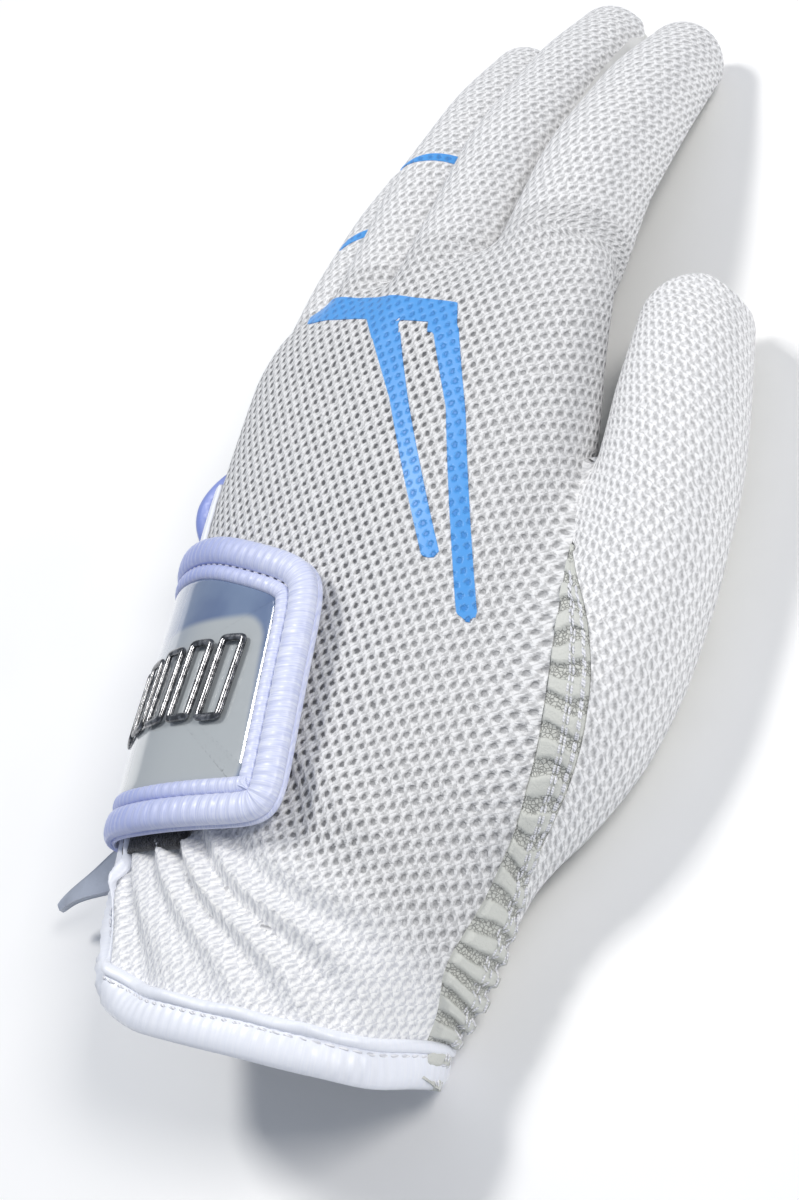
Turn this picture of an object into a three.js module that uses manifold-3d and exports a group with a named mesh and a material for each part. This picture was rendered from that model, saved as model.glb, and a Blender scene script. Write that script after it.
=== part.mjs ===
// Golf glove for the left hand, lying palm down on its palm side. Millimetres, +Z up,
// +Y towards the fingertips, +X towards the thumb.
import * as THREE from 'three';
import { LoftGeometry } from 'three/addons/geometries/LoftGeometry.js';
import { mergeGeometries, mergeVertices } from 'three/addons/utils/BufferGeometryUtils.js';
import Module from 'manifold-3d';

const wasm = await Module();
wasm.setup();
const { Manifold, Mesh } = wasm;

// ---------------------------------------------------------------- driving sizes
const WALL = 1.2;            // knit and leather thickness
const GAP = 0.3;             // clearance between sewn neighbours
const HAND_SIDES = 36;       // facets round the hand
const FINGER_SIDES = 16;     // facets round a finger
const FAR = 130;             // beyond every part
const KNUCKLE_Y = 72;        // plane of the knuckle fold
const THUMB_FOLD_Y = 36;     // plane of the thumb fold
const FOLD_GAP = 0.8;        // opening at every fold plane

// hand sections: y, ulnar x, radial x, top z, underside z, squareness
const HAND = [
  [-78, -29, 33, 38.0, -8, 2.3],
  [-54, -32, 34.5, 39.0, -6, 2.3],
  [-32, -37, 39, 40.0, -4, 2.3],
  [-12, -40, 43.5, 40.6, -2, 2.3],
  [18, -41, 45.5, 41.0, -1.5, 2.3],
  [48, -41, 44, 42.0, 5, 2.3],
  [74, -39, 42, 42.2, 11, 2.3],
  [90, -37.5, 41, 40.5, 14, 2.3],
  [102, -36.5, 40, 38.0, 16, 2.3],
];

// finger: knuckle point, sideways angle, downward angles, bone lengths, half widths, half heights
const FINGERS = {
  index: {
    base: [26.5, 75.5, 26.5], splay: 3.3, pitch: [4, 16.5, 23], bones: [45, 26, 18],
    wide: [10.6, 10.3, 9.8, 8.6], high: [14, 12.4, 11, 8.8],
  },
  middle: {
    base: [7.6, 79.5, 28.5], splay: 1.2, pitch: [6, 17, 22.5], bones: [49, 30, 19],
    wide: [10.2, 9.6, 9.2, 8.4], high: [14, 12.2, 10.8, 8.8],
  },
  ring: {
    base: [-12, 73.5, 27.5], splay: 1.6, pitch: [4, 14.5, 20], bones: [46, 30, 19],
    wide: [10, 9.2, 8.8, 8], high: [13.6, 11.6, 10.2, 8.4],
  },
  pinky: {
    base: [-29.5, 64, 23], splay: 0, pitch: [4.5, 11.5, 15], bones: [36, 21, 17],
    wide: [10.4, 8.8, 8.4, 7.4], high: [12.5, 10.2, 9.2, 7.8],
  },
};

// thumb centre line points with half width and half height
const THUMB = [
  [38, -24, 13, 6, 9],
  [42, -12, 14.2, 12, 13],
  [47, 2, 15, 16.2, 14.6],
  [51, 16, 15.2, 16.6, 14.8],
  [55.5, 34, 15.2, 13.8, 14],
  [56.6, 54, 15.6, 12.9, 13.2],
  [55.2, 70, 15.4, 12.4, 12.2],
  [53.4, 87, 14, 10.8, 10.8],
];

// ---------------------------------------------------------------- solid helpers
const rad = (deg) => (deg * Math.PI) / 180;
const lerp = (a, b, t) => a + (b - a) * t;

/** Solid with its faces turned outward, from a closed three.js geometry. */
function solidOf(geometry) {
  geometry.deleteAttribute('normal');
  geometry.deleteAttribute('uv');
  const merged = mergeVertices(geometry);
  const points = new Float32Array(merged.attributes.position.array);
  const faces = new Uint32Array(merged.index.array);
  const build = () => new Manifold(new Mesh({
    numProp: 3, vertProperties: points, triVerts: faces,
  }));
  const solid = build();
  if (solid.volume() > 0) return solid;
  for (let f = 0; f < faces.length; f += 3) {
    [faces[f + 1], faces[f + 2]] = [faces[f + 2], faces[f + 1]];
  }
  return build();
}

/** Triangles that close a ring with a fan about its middle. */
function fan(ring, reversed) {
  const middle = new THREE.Vector3();
  for (const point of ring) middle.addScaledVector(point, 1 / ring.length);
  const corners = ring.flatMap((point, i) => {
    const next = ring[(i + 1) % ring.length];
    return reversed ? [next, point, middle] : [point, next, middle];
  });
  return new THREE.BufferGeometry().setFromPoints(corners);
}

/** Closed solid skinned through rings of equal point count. */
function tube(rings) {
  const sections = rings.map((ring) => ring.map((point) => new THREE.Vector3(...point)));
  const side = new LoftGeometry(sections).toNonIndexed();
  side.deleteAttribute('normal');
  side.deleteAttribute('uv');
  return solidOf(mergeGeometries([side, fan(sections[0], true), fan(sections.at(-1), false)]));
}

/** Box between two corners. */
function box(x0, x1, y0, y1, z0, z1) {
  const geometry = new THREE.BoxGeometry(x1 - x0, y1 - y0, z1 - z0);
  return solidOf(geometry.translate((x0 + x1) / 2, (y0 + y1) / 2, (z0 + z1) / 2));
}

/** Point of a rounded-square section at turn t. */
function squareRound(t, squareness) {
  const shape = (v) => Math.sign(v) * Math.abs(v) ** (2 / squareness);
  return [shape(Math.cos(t)), shape(Math.sin(t))];
}

/** Hand body grown by a distance; the underside is kept flat on the resting plane. */
function handBody(grow, floor) {
  const rings = HAND.map(([y, ulnar, radial, top, under, squareness]) => {
    const ring = [];
    const [cx, a] = [(ulnar + radial) / 2, (radial - ulnar) / 2 + grow];
    const [cz, b] = [(top + under) / 2, (top - under) / 2 + grow];
    for (let s = 0; s < HAND_SIDES; s += 1) {
      const [u, v] = squareRound((s / HAND_SIDES) * 2 * Math.PI, squareness);
      ring.push([cx + a * u, y, Math.max(cz + b * v, floor)]);
    }
    return ring;
  });
  return tube(rings);
}

/** Centre line of a finger as joints, each with the local forward, side and up directions. */
function fingerLine(finger) {
  const stations = [];
  let at = finger.base;
  const splay = rad(finger.splay);
  const frame = (down) => ({
    forward: [Math.sin(splay) * Math.cos(down), Math.cos(splay) * Math.cos(down), -Math.sin(down)],
    side: [Math.cos(splay), -Math.sin(splay), 0],
    up: [Math.sin(splay) * Math.sin(down), Math.cos(splay) * Math.sin(down), Math.cos(down)],
  });
  for (let i = 0; i < 4; i += 1) {
    const down = rad(finger.pitch[Math.min(i, 2)]);
    const before = rad(finger.pitch[Math.max(i - 1, 0)]);
    stations.push({ at, wide: finger.wide[i], high: finger.high[i], ...frame((down + before) / 2) });
    const step = frame(down).forward;
    at = at.map((v, k) => v + step[k] * (finger.bones[i] ?? 0));
  }
  stations[3] = { ...stations[3], ...frame(rad(finger.pitch[2])) };
  return stations;
}

function ringAt(station, wide, high, ahead, floor, sides) {
  const ring = [];
  for (let s = 0; s < sides; s += 1) {
    const t = (s / sides) * 2 * Math.PI;
    const point = station.at.map((v, k) => v + station.forward[k] * ahead
      + station.side[k] * wide * Math.cos(t) + station.up[k] * high * Math.sin(t));
    ring.push([point[0], point[1], Math.max(point[2], floor)]);
  }
  return ring;
}

/** Finger with a round tip, grown by a distance. */
function fingerBody(finger, grow, floor) {
  const stations = fingerLine(finger);
  const rings = stations.map((st) => ringAt(st, st.wide + grow, st.high + grow, 0, floor, FINGER_SIDES));
  const tip = stations[3];
  for (const turn of [30, 58, 80]) {
    const scale = Math.cos(rad(turn));
    rings.push(ringAt(
      tip, (tip.wide + grow) * scale, (tip.high + grow) * scale,
      (tip.high + grow) * Math.sin(rad(turn)), floor, FINGER_SIDES,
    ));
  }
  return tube(rings);
}

/** Thumb with round ends, grown by a distance. */
function thumbBody(grow, floor) {
  const rings = [];
  const ringOf = (p, scale, ahead) => {
    const ring = [];
    for (let s = 0; s < FINGER_SIDES; s += 1) {
      const t = (s / FINGER_SIDES) * 2 * Math.PI;
      ring.push([
        p[0] + (p[3] + grow) * scale * Math.cos(t),
        p[1] + ahead,
        Math.max(p[2] + (p[4] + grow) * scale * Math.sin(t), floor),
      ]);
    }
    return ring;
  };
  for (const p of THUMB) rings.push(ringOf(p, 1, 0));
  const tip = THUMB[THUMB.length - 1];
  for (const turn of [30, 58, 80]) {
    rings.push(ringOf(tip, Math.cos(rad(turn)), (tip[4] + grow) * Math.sin(rad(turn))));
  }
  return tube(rings);
}

/** Upright prism over an outline given in plan. */
function upright(outline, z0, z1) {
  const shape = new THREE.Shape(outline.map(([x, y]) => new THREE.Vector2(x, y)));
  const geometry = new THREE.ExtrudeGeometry(shape, { depth: z1 - z0, bevelEnabled: false });
  return solidOf(geometry.translate(0, 0, z0));
}

/** Plan outline with rounded corners. */
function rounded(corners, radius, steps = 4) {
  const out = [];
  corners.forEach((corner, i) => {
    const before = corners[(i + corners.length - 1) % corners.length];
    const after = corners[(i + 1) % corners.length];
    const towards = (p) => {
      const length = Math.hypot(p[0] - corner[0], p[1] - corner[1]);
      const reach = Math.min(radius, length / 2.2) / length;
      return [lerp(corner[0], p[0], reach), lerp(corner[1], p[1], reach)];
    };
    const [a, b] = [towards(before), towards(after)];
    for (let s = 0; s <= steps; s += 1) {
      const t = s / steps;
      const [u, v, w] = [(1 - t) ** 2, 2 * t * (1 - t), t * t];
      out.push([u * a[0] + v * corner[0] + w * b[0], u * a[1] + v * corner[1] + w * b[1]]);
    }
  });
  return out;
}

/** The largest connected body of a solid. */
function largest(solid) {
  const bodies = solid.decompose();
  return bodies.reduce((best, body) => (body.volume() > best.volume() ? body : best));
}

// seam turn angles about the hand's inner axis, in degrees from +X towards +Z
const HAND_AXIS_X = 8;
const SLIM = 0.45;
const SEAMS = [
  { y: -80, z: 8, palm: -9, strip: -7, radial: 32, ulnar: 145.5 },
  { y: -54, z: 8, palm: -9, strip: -7, radial: 31, ulnar: 147 },
  { y: -38, z: 8, palm: -4, strip: 10, radial: 26, ulnar: 152 },
  { y: -20, z: 8, palm: -1, strip: 14, radial: 22.8, ulnar: 155 },
  { y: 4, z: 8, palm: -1, strip: 16.3, radial: 23.2, ulnar: 155.6 },
  { y: 28, z: 8, palm: 0, strip: 22, radial: 27, ulnar: 155 },
  { y: 42, z: 12, palm: 0, strip: 18, radial: 21, ulnar: 158 },
  { y: 55, z: 16, palm: 5, strip: 12, radial: 15, ulnar: 162 },
  { y: 72, z: 22, palm: 6.5, strip: 7.4, radial: 8.4, ulnar: 174 },
  { y: 110, z: 22, palm: 6.5, strip: 7.4, radial: 8.4, ulnar: 174 },
].map((seam) => ({
  ...seam,
  slit: seam.ulnar + 3.4,
  ulnarPalm: seam.ulnar + (seam.y < 50 ? 9 : 4),
  palmTurn: 360 + seam.palm,
}));
const STRIP_TOP_Y = 58;
const STRIP_LOW_Y = -62;
const SLIT_TOP_Y = 50;

// outlines in plan
const TAB_OUTLINE = [[9, 21], [-18, 30], [-60, 35], [-60, -20], [-20, -26], [16, -24]];
const LOOP_OUTLINE = [[4, 14], [-38, 18], [-38, -29], [8, -28]];
const HOOK_OUTLINE = [[2, 14], [-20, 18], [-20, -20], [6, -20]];
const BADGE_OUTLINE = [[-4, 14], [-34, 18], [-36, -8], [-2, -10]];
const BAR_OUTLINE = [
  [-23.5, 88], [18, 79.5], [20, 72.8], [13.5, 72.8], [13, 75.4], [5.4, 77], [7, 72.8], [0.4, 72.8],
  [-3, 78.8], [-20.5, 82.4],
];
const ULNAR_LEG = [[1, 71.2], [7.6, 71.2], [13.9, 57.6], [30.6, 24], [29.5, 22.4], [27.4, 23], [7.7, 58.5]];
const RADIAL_LEG = [[14, 71.2], [20.8, 71.2], [27.6, 55], [42.4, 10.4], [41, 8.6], [39, 10], [21.9, 55.7]];
const PRINT_LOW = 0.3;
const PRINT_HIGH = 0.8;
const FORK_LOW = -0.5;
const FORK_HIGH = 0.3;

/** Twice the area of a plan outline, positive when it runs anticlockwise. */
const turning = (corners) => corners.reduce((sum, [x, y], i) => {
  const [nx, ny] = corners[(i + 1) % corners.length];
  return sum + x * ny - nx * y;
}, 0);

/** Plan outline moved inward by a distance. */
function insetOutline(corners, by) {
  if (by === 0) return corners;
  const count = corners.length;
  const turn = Math.sign(turning(corners));
  const edges = corners.map(([x, y], i) => {
    const [nx, ny] = corners[(i + 1) % count];
    const length = Math.hypot(nx - x, ny - y);
    const normal = [(-(ny - y) / length) * turn, ((nx - x) / length) * turn];
    return { normal, offset: normal[0] * x + normal[1] * y + by };
  });
  return edges.map((edge, i) => {
    const before = edges[(i + count - 1) % count];
    const cross = before.normal[0] * edge.normal[1] - before.normal[1] * edge.normal[0];
    return [
      (before.offset * edge.normal[1] - edge.offset * before.normal[1]) / cross,
      (before.normal[0] * edge.offset - edge.normal[0] * before.offset) / cross,
    ];
  });
}

/** Wedge of the hand between two turn angles about its inner axis, both varying along y. */
function sector(from, to, shift = 0) {
  const cx = HAND_AXIS_X;
  return tube(SEAMS.map((seam) => {
    const [a, b] = [seam[from] + shift, seam[to] - shift];
    const ring = [[cx, seam.y, seam.z]];
    for (let s = 0; s <= 6; s += 1) {
      const t = rad(lerp(a, b, s / 6));
      ring.push([cx + FAR * Math.cos(t), seam.y, seam.z + FAR * Math.sin(t)]);
    }
    return ring;
  }));
}

/** Slab that follows a finger between two heights and two side offsets, as shares of its size. */
function slab(finger, low, high, left, right) {
  const stations = fingerLine(finger);
  const first = stations[0];
  const last = stations[3];
  const moved = (st, by) => ({ ...st, at: st.at.map((v, k) => v + st.forward[k] * by) });
  const line = [moved(first, -30), ...stations, moved(last, 30)];
  return tube(line.map((st) => [[left, low], [right, low], [right, high], [left, high]]
    .map(([side, up]) => st.at.map((v, k) => v + st.side[k] * st.wide * side
      + st.up[k] * st.high * up))));
}

/** Half space ahead of a finger's middle joint, or behind it. */
function splitAtJoint(solid, finger, ahead) {
  const joint = fingerLine(finger)[1];
  const along = joint.forward.reduce((sum, v, k) => sum + v * joint.at[k], 0);
  return ahead
    ? solid.trimByPlane(joint.forward, along + FOLD_GAP / 2)
    : solid.trimByPlane(joint.forward.map((v) => -v), -along + FOLD_GAP / 2);
}

const union = (solids) => solids.reduce((sum, solid) => sum.add(solid));
const beyondLine = (solid, slope, y) => solid.trimByPlane([slope, 1, 0], y / Math.hypot(slope, 1));
const beforeLine = (solid, slope, y) => solid.trimByPlane([-slope, -1, 0], -y / Math.hypot(slope, 1));

// ---------------------------------------------------------------- whole glove
const fingers = Object.entries(FINGERS);

/** Palm, thumb base and finger bodies as one, grown by a distance. */
function gloveBody(grow, floor, webs) {
  const hand = beforeLine(handBody(grow, floor), -0.2, webs);
  const solids = [hand, thumbBody(grow, floor)];
  for (const [, finger] of fingers) solids.push(fingerBody(finger, grow, floor));
  return union(solids);
}

const WEB_Y = 97;
const outer = gloveBody(0, 0, WEB_Y);
const inner = gloveBody(-WALL, WALL, WEB_Y - WALL);
const skin = outer.subtract(inner);

const parts = [];
/** Adds one named body to the glove. */
function add(name, solid, look) {
  parts.push({ name, solid: largest(solid), look });
}

const KNIT = { color: 0xf1f1f3, roughness: 0.9, metalness: 0 };
const LEATHER = { color: 0xd2d4cd, roughness: 0.6, metalness: 0 };
const BLUE = { color: 0x3f8fe0, roughness: 0.5, metalness: 0 };
const BLACK = { color: 0x2a2c31, roughness: 1, metalness: 0 };
const SATIN = { color: 0xe6e8f4, roughness: 0.7, metalness: 0 };
const WINDOW = { color: 0x8d99ad, roughness: 0.2, metalness: 0 };
const CHROME = { color: 0x5a5f68, roughness: 0.3, metalness: 0.8 };

const HEM_SLOPE = 0.2;
const HEM_Y = -58;
const PALM_HEM_SLOPE = 0.33;
const PALM_HEM_Y = -46;
const HEM_WIDTH = 5;

// ---------------------------------------------------------------- hand panels
const thumbFold = THUMB_FOLD_Y - FOLD_GAP / 2;
const besideThumb = handBody(0, 0).subtract(inner).trimByPlane([0, 1, 0], thumbFold);
const root = beforeLine(
  beforeLine(skin, 0, thumbFold).add(besideThumb), 0, KNUCKLE_Y - FOLD_GAP / 2,
);
const dorsal = sector('radial', 'ulnar');
const nearDorsal = sector('radial', 'ulnar', -SLIM);
const nearStrip = sector('strip', 'ulnar', -SLIM);
const nearHeel = sector('palm', 'ulnar', -SLIM);
add('back_panel', beyondLine(root, HEM_SLOPE, HEM_Y + HEM_WIDTH).intersect(dorsal), KNIT);

add('shirred_strip', beyondLine(root, HEM_SLOPE, HEM_Y + 0.6)
  .intersect(sector('strip', 'ulnar'))
  .subtract(nearDorsal)
  .trimByPlane([0, 1, 0], STRIP_LOW_Y)
  .trimByPlane([0, -1, 0], -STRIP_TOP_Y), LEATHER);

add('thumb_heel', beyondLine(root, HEM_SLOPE, HEM_Y + 20)
  .intersect(sector('palm', 'ulnar'))
  .subtract(nearStrip), KNIT);

const palmRegion = beyondLine(root, PALM_HEM_SLOPE, PALM_HEM_Y)
  .intersect(sector('ulnarPalm', 'palmTurn'))
  .subtract(nearHeel);
add('palm_panel', beyondLine(palmRegion, PALM_HEM_SLOPE, PALM_HEM_Y + HEM_WIDTH), LEATHER);
add('palm_hem', beforeLine(palmRegion, PALM_HEM_SLOPE, PALM_HEM_Y + HEM_WIDTH - GAP), SATIN);

// ---------------------------------------------------------------- dorsal hem
const hemSheet = (outside, inside) => handBody(outside, 0)
  .subtract(handBody(-inside, inside))
  .intersect(dorsal);
add('cuff_binding', beforeLine(
  beyondLine(hemSheet(0.9, WALL + 0.9), HEM_SLOPE, HEM_Y),
  HEM_SLOPE, HEM_Y + HEM_WIDTH - GAP,
), SATIN);
add('cuff_welt', beforeLine(
  beyondLine(hemSheet(2.1, -GAP), HEM_SLOPE, HEM_Y + HEM_WIDTH),
  HEM_SLOPE, HEM_Y + HEM_WIDTH + 2.6,
).intersect(sector('radial', 'ulnar', 1.5)), SATIN);
add('slit_binding', beyondLine(
  handBody(0.9, 0).subtract(handBody(-WALL - 0.9, WALL)).intersect(sector('radial', 'slit'))
    .subtract(nearDorsal),
  HEM_SLOPE, HEM_Y,
).trimByPlane([0, -1, 0], -SLIT_TOP_Y), SATIN);
add('wrist_elastic', handBody(-WALL - GAP, WALL)
  .subtract(handBody(-WALL - 1.4, WALL))
  .intersect(sector('radial', 'ulnar', 12))
  .intersect(box(-FAR, FAR, -40, -30, -1, FAR)), BLACK);
add('loop_patch', handBody(1.4, 0)
  .subtract(handBody(GAP, 0))
  .intersect(sector('radial', 'ulnar', 4))
  .intersect(upright(rounded(LOOP_OUTLINE, 4), 10, 60)), BLACK);

const printSheet = handBody(PRINT_HIGH, 0).subtract(handBody(PRINT_LOW, 0));
for (const [name, outline] of [['print_leg_ulnar', ULNAR_LEG], ['print_leg_radial', RADIAL_LEG]]) {
  add(name, printSheet.intersect(upright(outline, 20, 60)), BLUE);
}

const flap = tube([
  [[-43.6, -8, 10.5], [-42.6, -32, 9.5], [-42.6, -32, 11.1], [-43.6, -8, 12.1]],
  [[-56, -19, 9.3], [-55, -34, 8.6], [-55, -34, 10], [-56, -19, 10.7]],
  [[-69.5, -29.5, 7.4], [-70, -32, 7.3], [-70, -32, 8.2], [-69.5, -29.5, 8.3]],
]);
add('ulnar_flap', flap.subtract(handBody(GAP, 0)), LEATHER);

// ---------------------------------------------------------------- closure tab
const TAB_LOW_Z = 19;
const tabLayer = (inside, outside, inset) => handBody(outside, 0)
  .subtract(handBody(inside, 0))
  .intersect(upright(rounded(insetOutline(TAB_OUTLINE, inset), Math.max(8 - inset / 2, 3)), 1, 80))
  .trimByPlane([0, 0, 1], TAB_LOW_Z + inset);
const ringLayer = (inside, outside, from, to) => tabLayer(inside, outside, from)
  .subtract(tabLayer(inside - 1, outside + 1, to));
add('tab_hook', handBody(2.7, 0)
  .subtract(handBody(1.7, 0))
  .intersect(sector('radial', 'ulnar', 6))
  .intersect(upright(rounded(HOOK_OUTLINE, 4), 10, 60)), BLACK);
add('tab_base', tabLayer(3, 4.3, 0), SATIN);
add('tab_outer_welt', ringLayer(4.6, 7.2, 0.4, 4.8), SATIN);
add('tab_inner_welt', ringLayer(4.6, 6.2, 5.4, 8.4), SATIN);
add('tab_window', tabLayer(4.6, 5.5, 9), WINDOW);
add('tab_badge', handBody(6.7, 0)
  .subtract(handBody(5.8, 0))
  .intersect(upright(rounded(BADGE_OUTLINE, 8), 20, 80))
  .subtract(upright(rounded(insetOutline(BADGE_OUTLINE, 2), 6), 20, 80)), CHROME);

// ---------------------------------------------------------------- knuckle section
const midSheet = [[40, 13, 36], [72, 15.5, 34], [100, 11, 34.5], [140, 4, 34]];
const sheetRegion = (lift, upward) => {
  const rows = midSheet.map(([y, ulnar, radial]) => {
    const ends = [[-FAR, y, ulnar + lift], [FAR, y, radial + lift]];
    const edge = upward ? FAR : -FAR;
    return [...ends, [FAR, y, edge], [-FAR, y, edge]];
  });
  return tube(rows);
};
const aheadOfFold = (solid) => solid
  .trimByPlane([0, 1, 0], KNUCKLE_Y + FOLD_GAP / 2)
  .subtract(thumbBody(0.2, 0));
const proximal = fingers.map(([, finger]) => splitAtJoint(
  aheadOfFold(fingerBody(finger, 0, 0).subtract(inner)), finger, false,
));
const webPart = aheadOfFold(beforeLine(skin, -0.2, WEB_Y + 1));
const knuckles = union([webPart, ...proximal]);

/** Side wall zone of a finger from the web to near the tip. */
function forkZone(finger, side, margin) {
  const [left, right] = side < 0 ? [-2, -0.2 + margin / 10] : [0.2 - margin / 10, 2];
  const zone = slab(finger, FORK_LOW - margin / 12, FORK_HIGH + margin / 12, left, right);
  const tip = fingerLine(finger)[3];
  const along = tip.forward.reduce((sum, v, k) => sum + v * tip.at[k], 0);
  return zone
    .trimByPlane([0, 1, 0], WEB_Y - 14 - margin)
    .trimByPlane(tip.forward.map((v) => -v), -along + 2 - margin);
}

const FORKS = [
  ['index', 'middle', 'fork_index_middle'],
  ['middle', 'ring', 'fork_middle_ring'],
  ['ring', 'pinky', 'fork_ring_pinky'],
];
let allForks = [];
for (const [radialSide, ulnarSide, name] of FORKS) {
  const limit = (solid, margin) => {
    const from = slab(FINGERS[ulnarSide], -3, 3, -0.2 - margin / 10, 4);
    const to = slab(FINGERS[radialSide], -3, 3, -4, 0.2 + margin / 10);
    return solid.intersect(from).intersect(to);
  };
  const zone = (margin) => limit(union([
    forkZone(FINGERS[radialSide], -1, margin), forkZone(FINGERS[ulnarSide], 1, margin),
  ]), margin);
  add(name, knuckles.intersect(zone(0)), LEATHER);
  allForks.push(zone(GAP));
}
allForks = union(allForks);
add('knuckle_back', knuckles.intersect(sheetRegion(GAP / 2, true)).subtract(allForks), KNIT);
add('knuckle_palm', knuckles.intersect(sheetRegion(-GAP / 2, false)).subtract(allForks), LEATHER);

const knucklePrint = gloveBody(PRINT_HIGH, 0, WEB_Y).subtract(gloveBody(PRINT_LOW, 0, WEB_Y));
add('print_bar', knucklePrint.intersect(upright(BAR_OUTLINE, 26, 60)), BLUE);

// ---------------------------------------------------------------- finger ends
for (const [name, finger] of fingers) {
  const hollow = fingerBody(finger, 0, 0).subtract(fingerBody(finger, -WALL, WALL));
  const end = splitAtJoint(hollow, finger, true);
  const sides = [];
  if (name !== 'index') sides.push(['radial', 1]);
  if (name !== 'pinky') sides.push(['ulnar', -1]);
  let back = end.intersect(slab(finger, -0.06 + 0.013, 3, -3, 3));
  let palm = end.intersect(slab(finger, -3, -0.06 - 0.013, -3, 3));
  for (const [side, sign] of sides) {
    add(`${name}_fork_${side}`, end.intersect(forkZone(finger, sign, 0)), LEATHER);
    back = back.subtract(forkZone(finger, sign, GAP));
    palm = palm.subtract(forkZone(finger, sign, GAP));
  }
  add(`${name}_back`, back, KNIT);
  add(`${name}_palm`, palm, LEATHER);
}

for (const [name, x0, x1, y0, y1] of [['ring', -15, -4, 124, 126], ['pinky', -32, -27, 106, 110]]) {
  const film = fingerBody(FINGERS[name], PRINT_HIGH, 0)
    .subtract(fingerBody(FINGERS[name], PRINT_LOW, 0));
  add(`${name}_print`, film.intersect(box(x0, x1, y0, y1, 20, 60)), BLUE);
}

// ---------------------------------------------------------------- thumb
const thumbSkin = thumbBody(0, 0)
  .subtract(thumbBody(-WALL, WALL))
  .trimByPlane([0, 1, 0], THUMB_FOLD_Y + FOLD_GAP / 2)
  .subtract(handBody(0.5, 0));
const THUMB_SEAM_Z = 9;
add('thumb_back', thumbSkin.trimByPlane([0, 0, 1], THUMB_SEAM_Z + GAP / 2), KNIT);
add('thumb_palm', thumbSkin.trimByPlane([0, 0, -1], -THUMB_SEAM_Z + GAP / 2), LEATHER);

// ---------------------------------------------------------------- meshes
function meshOf({ name, solid, look }) {
  const { numProp, vertProperties, triVerts } = solid.getMesh();
  const geometry = new THREE.BufferGeometry();
  const positions = new Float32Array((vertProperties.length / numProp) * 3);
  for (let v = 0; v < positions.length / 3; v += 1) {
    for (let k = 0; k < 3; k += 1) positions[v * 3 + k] = vertProperties[v * numProp + k];
  }
  geometry.setAttribute('position', new THREE.BufferAttribute(positions, 3));
  geometry.setIndex(new THREE.BufferAttribute(new Uint32Array(triVerts), 1));
  const mesh = new THREE.Mesh(geometry, new THREE.MeshStandardMaterial(look));
  mesh.name = name;
  return mesh;
}

const glove = new THREE.Group();
glove.name = 'golf_glove';
for (const part of parts) glove.add(meshOf(part));

export default glove;
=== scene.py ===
"""Golf glove for the left hand: one continuous knit and leather skin cut into its sewn panels,
with a shirred strip, padded closure tab, bindings, prints and stitches. Work is done in
millimetres in the row frame (+X thumb side, +Y fingertips, +Z up) and stored in metres."""
import math

import bpy
import numpy as np
from mathutils import Matrix, Vector


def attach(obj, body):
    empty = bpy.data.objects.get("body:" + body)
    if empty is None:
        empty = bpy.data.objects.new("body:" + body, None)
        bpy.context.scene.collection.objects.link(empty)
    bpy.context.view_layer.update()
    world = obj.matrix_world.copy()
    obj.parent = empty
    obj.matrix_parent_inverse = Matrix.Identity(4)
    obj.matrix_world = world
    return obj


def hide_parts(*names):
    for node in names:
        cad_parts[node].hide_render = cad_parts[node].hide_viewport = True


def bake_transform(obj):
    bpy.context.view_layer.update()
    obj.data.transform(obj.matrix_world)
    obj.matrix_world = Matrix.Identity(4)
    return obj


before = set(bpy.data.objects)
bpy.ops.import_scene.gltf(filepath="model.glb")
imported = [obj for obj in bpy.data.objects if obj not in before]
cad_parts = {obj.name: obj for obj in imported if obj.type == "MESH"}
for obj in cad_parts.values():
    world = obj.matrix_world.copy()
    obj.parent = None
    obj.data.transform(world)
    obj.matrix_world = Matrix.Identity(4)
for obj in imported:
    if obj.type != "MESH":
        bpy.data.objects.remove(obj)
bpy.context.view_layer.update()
rng = np.random.default_rng(7)

# ------------------------------------------------------------------ driving sizes
CELL = 1.05      # spacing of the skin's points
SKIN = 1.0                              # fabric thickness
WEB_Y, WEB_SLOPE = 97.0, 0.2            # line of the finger webs
AXIS_X = 8.0                            # inner axis that the seam angles turn about
STEP = 0.5                              # spacing of the points on a track, a limb or a path
LEAD = 20.0                             # length by which a limb's line runs on before its base
LIMB_BLUR = 4.0                         # rounding of a limb's line and sizes along it
WEB_CUT = 98.0                          # where the back and the palm give way to the fingers
FINGER_MERGE = 2.6                      # rounding between the hand and the finger tubes
SINK_MM = 3.2                           # how far the finger tubes draw in inside the hand
EBB_MM = 2.6                            # how far the hand sinks between the fingers
FLOOR_CLEAR = 1.3                       # height of the palm's skin where it lies on the floor
FAR = 50.0                              # field of a limb away from it

# y, ulnar x, radial x, top z, underside z
HAND = np.array([
    [-95, -29, 33, 38.0, -8], [-78, -29, 33, 38.0, -8], [-54, -32, 35.0, 39.0, -6],
    [-42, -34.5, 35.8, 39.6, -5], [-32, -37, 38, 40.0, -4], [-12, -40, 43.5, 40.6, -2],
    [18, -41, 45.5, 41.0, -1.5], [48, -41, 44, 42.0, 5], [74, -39, 42, 42.2, 11], [90, -37.5, 41, 40.5, 14],
    [102, -36.5, 40, 38.0, 16], [130, -36.5, 40, 38.0, 16],
])
SQUARE = 2.3                            # power of the hand's rounded section

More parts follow.
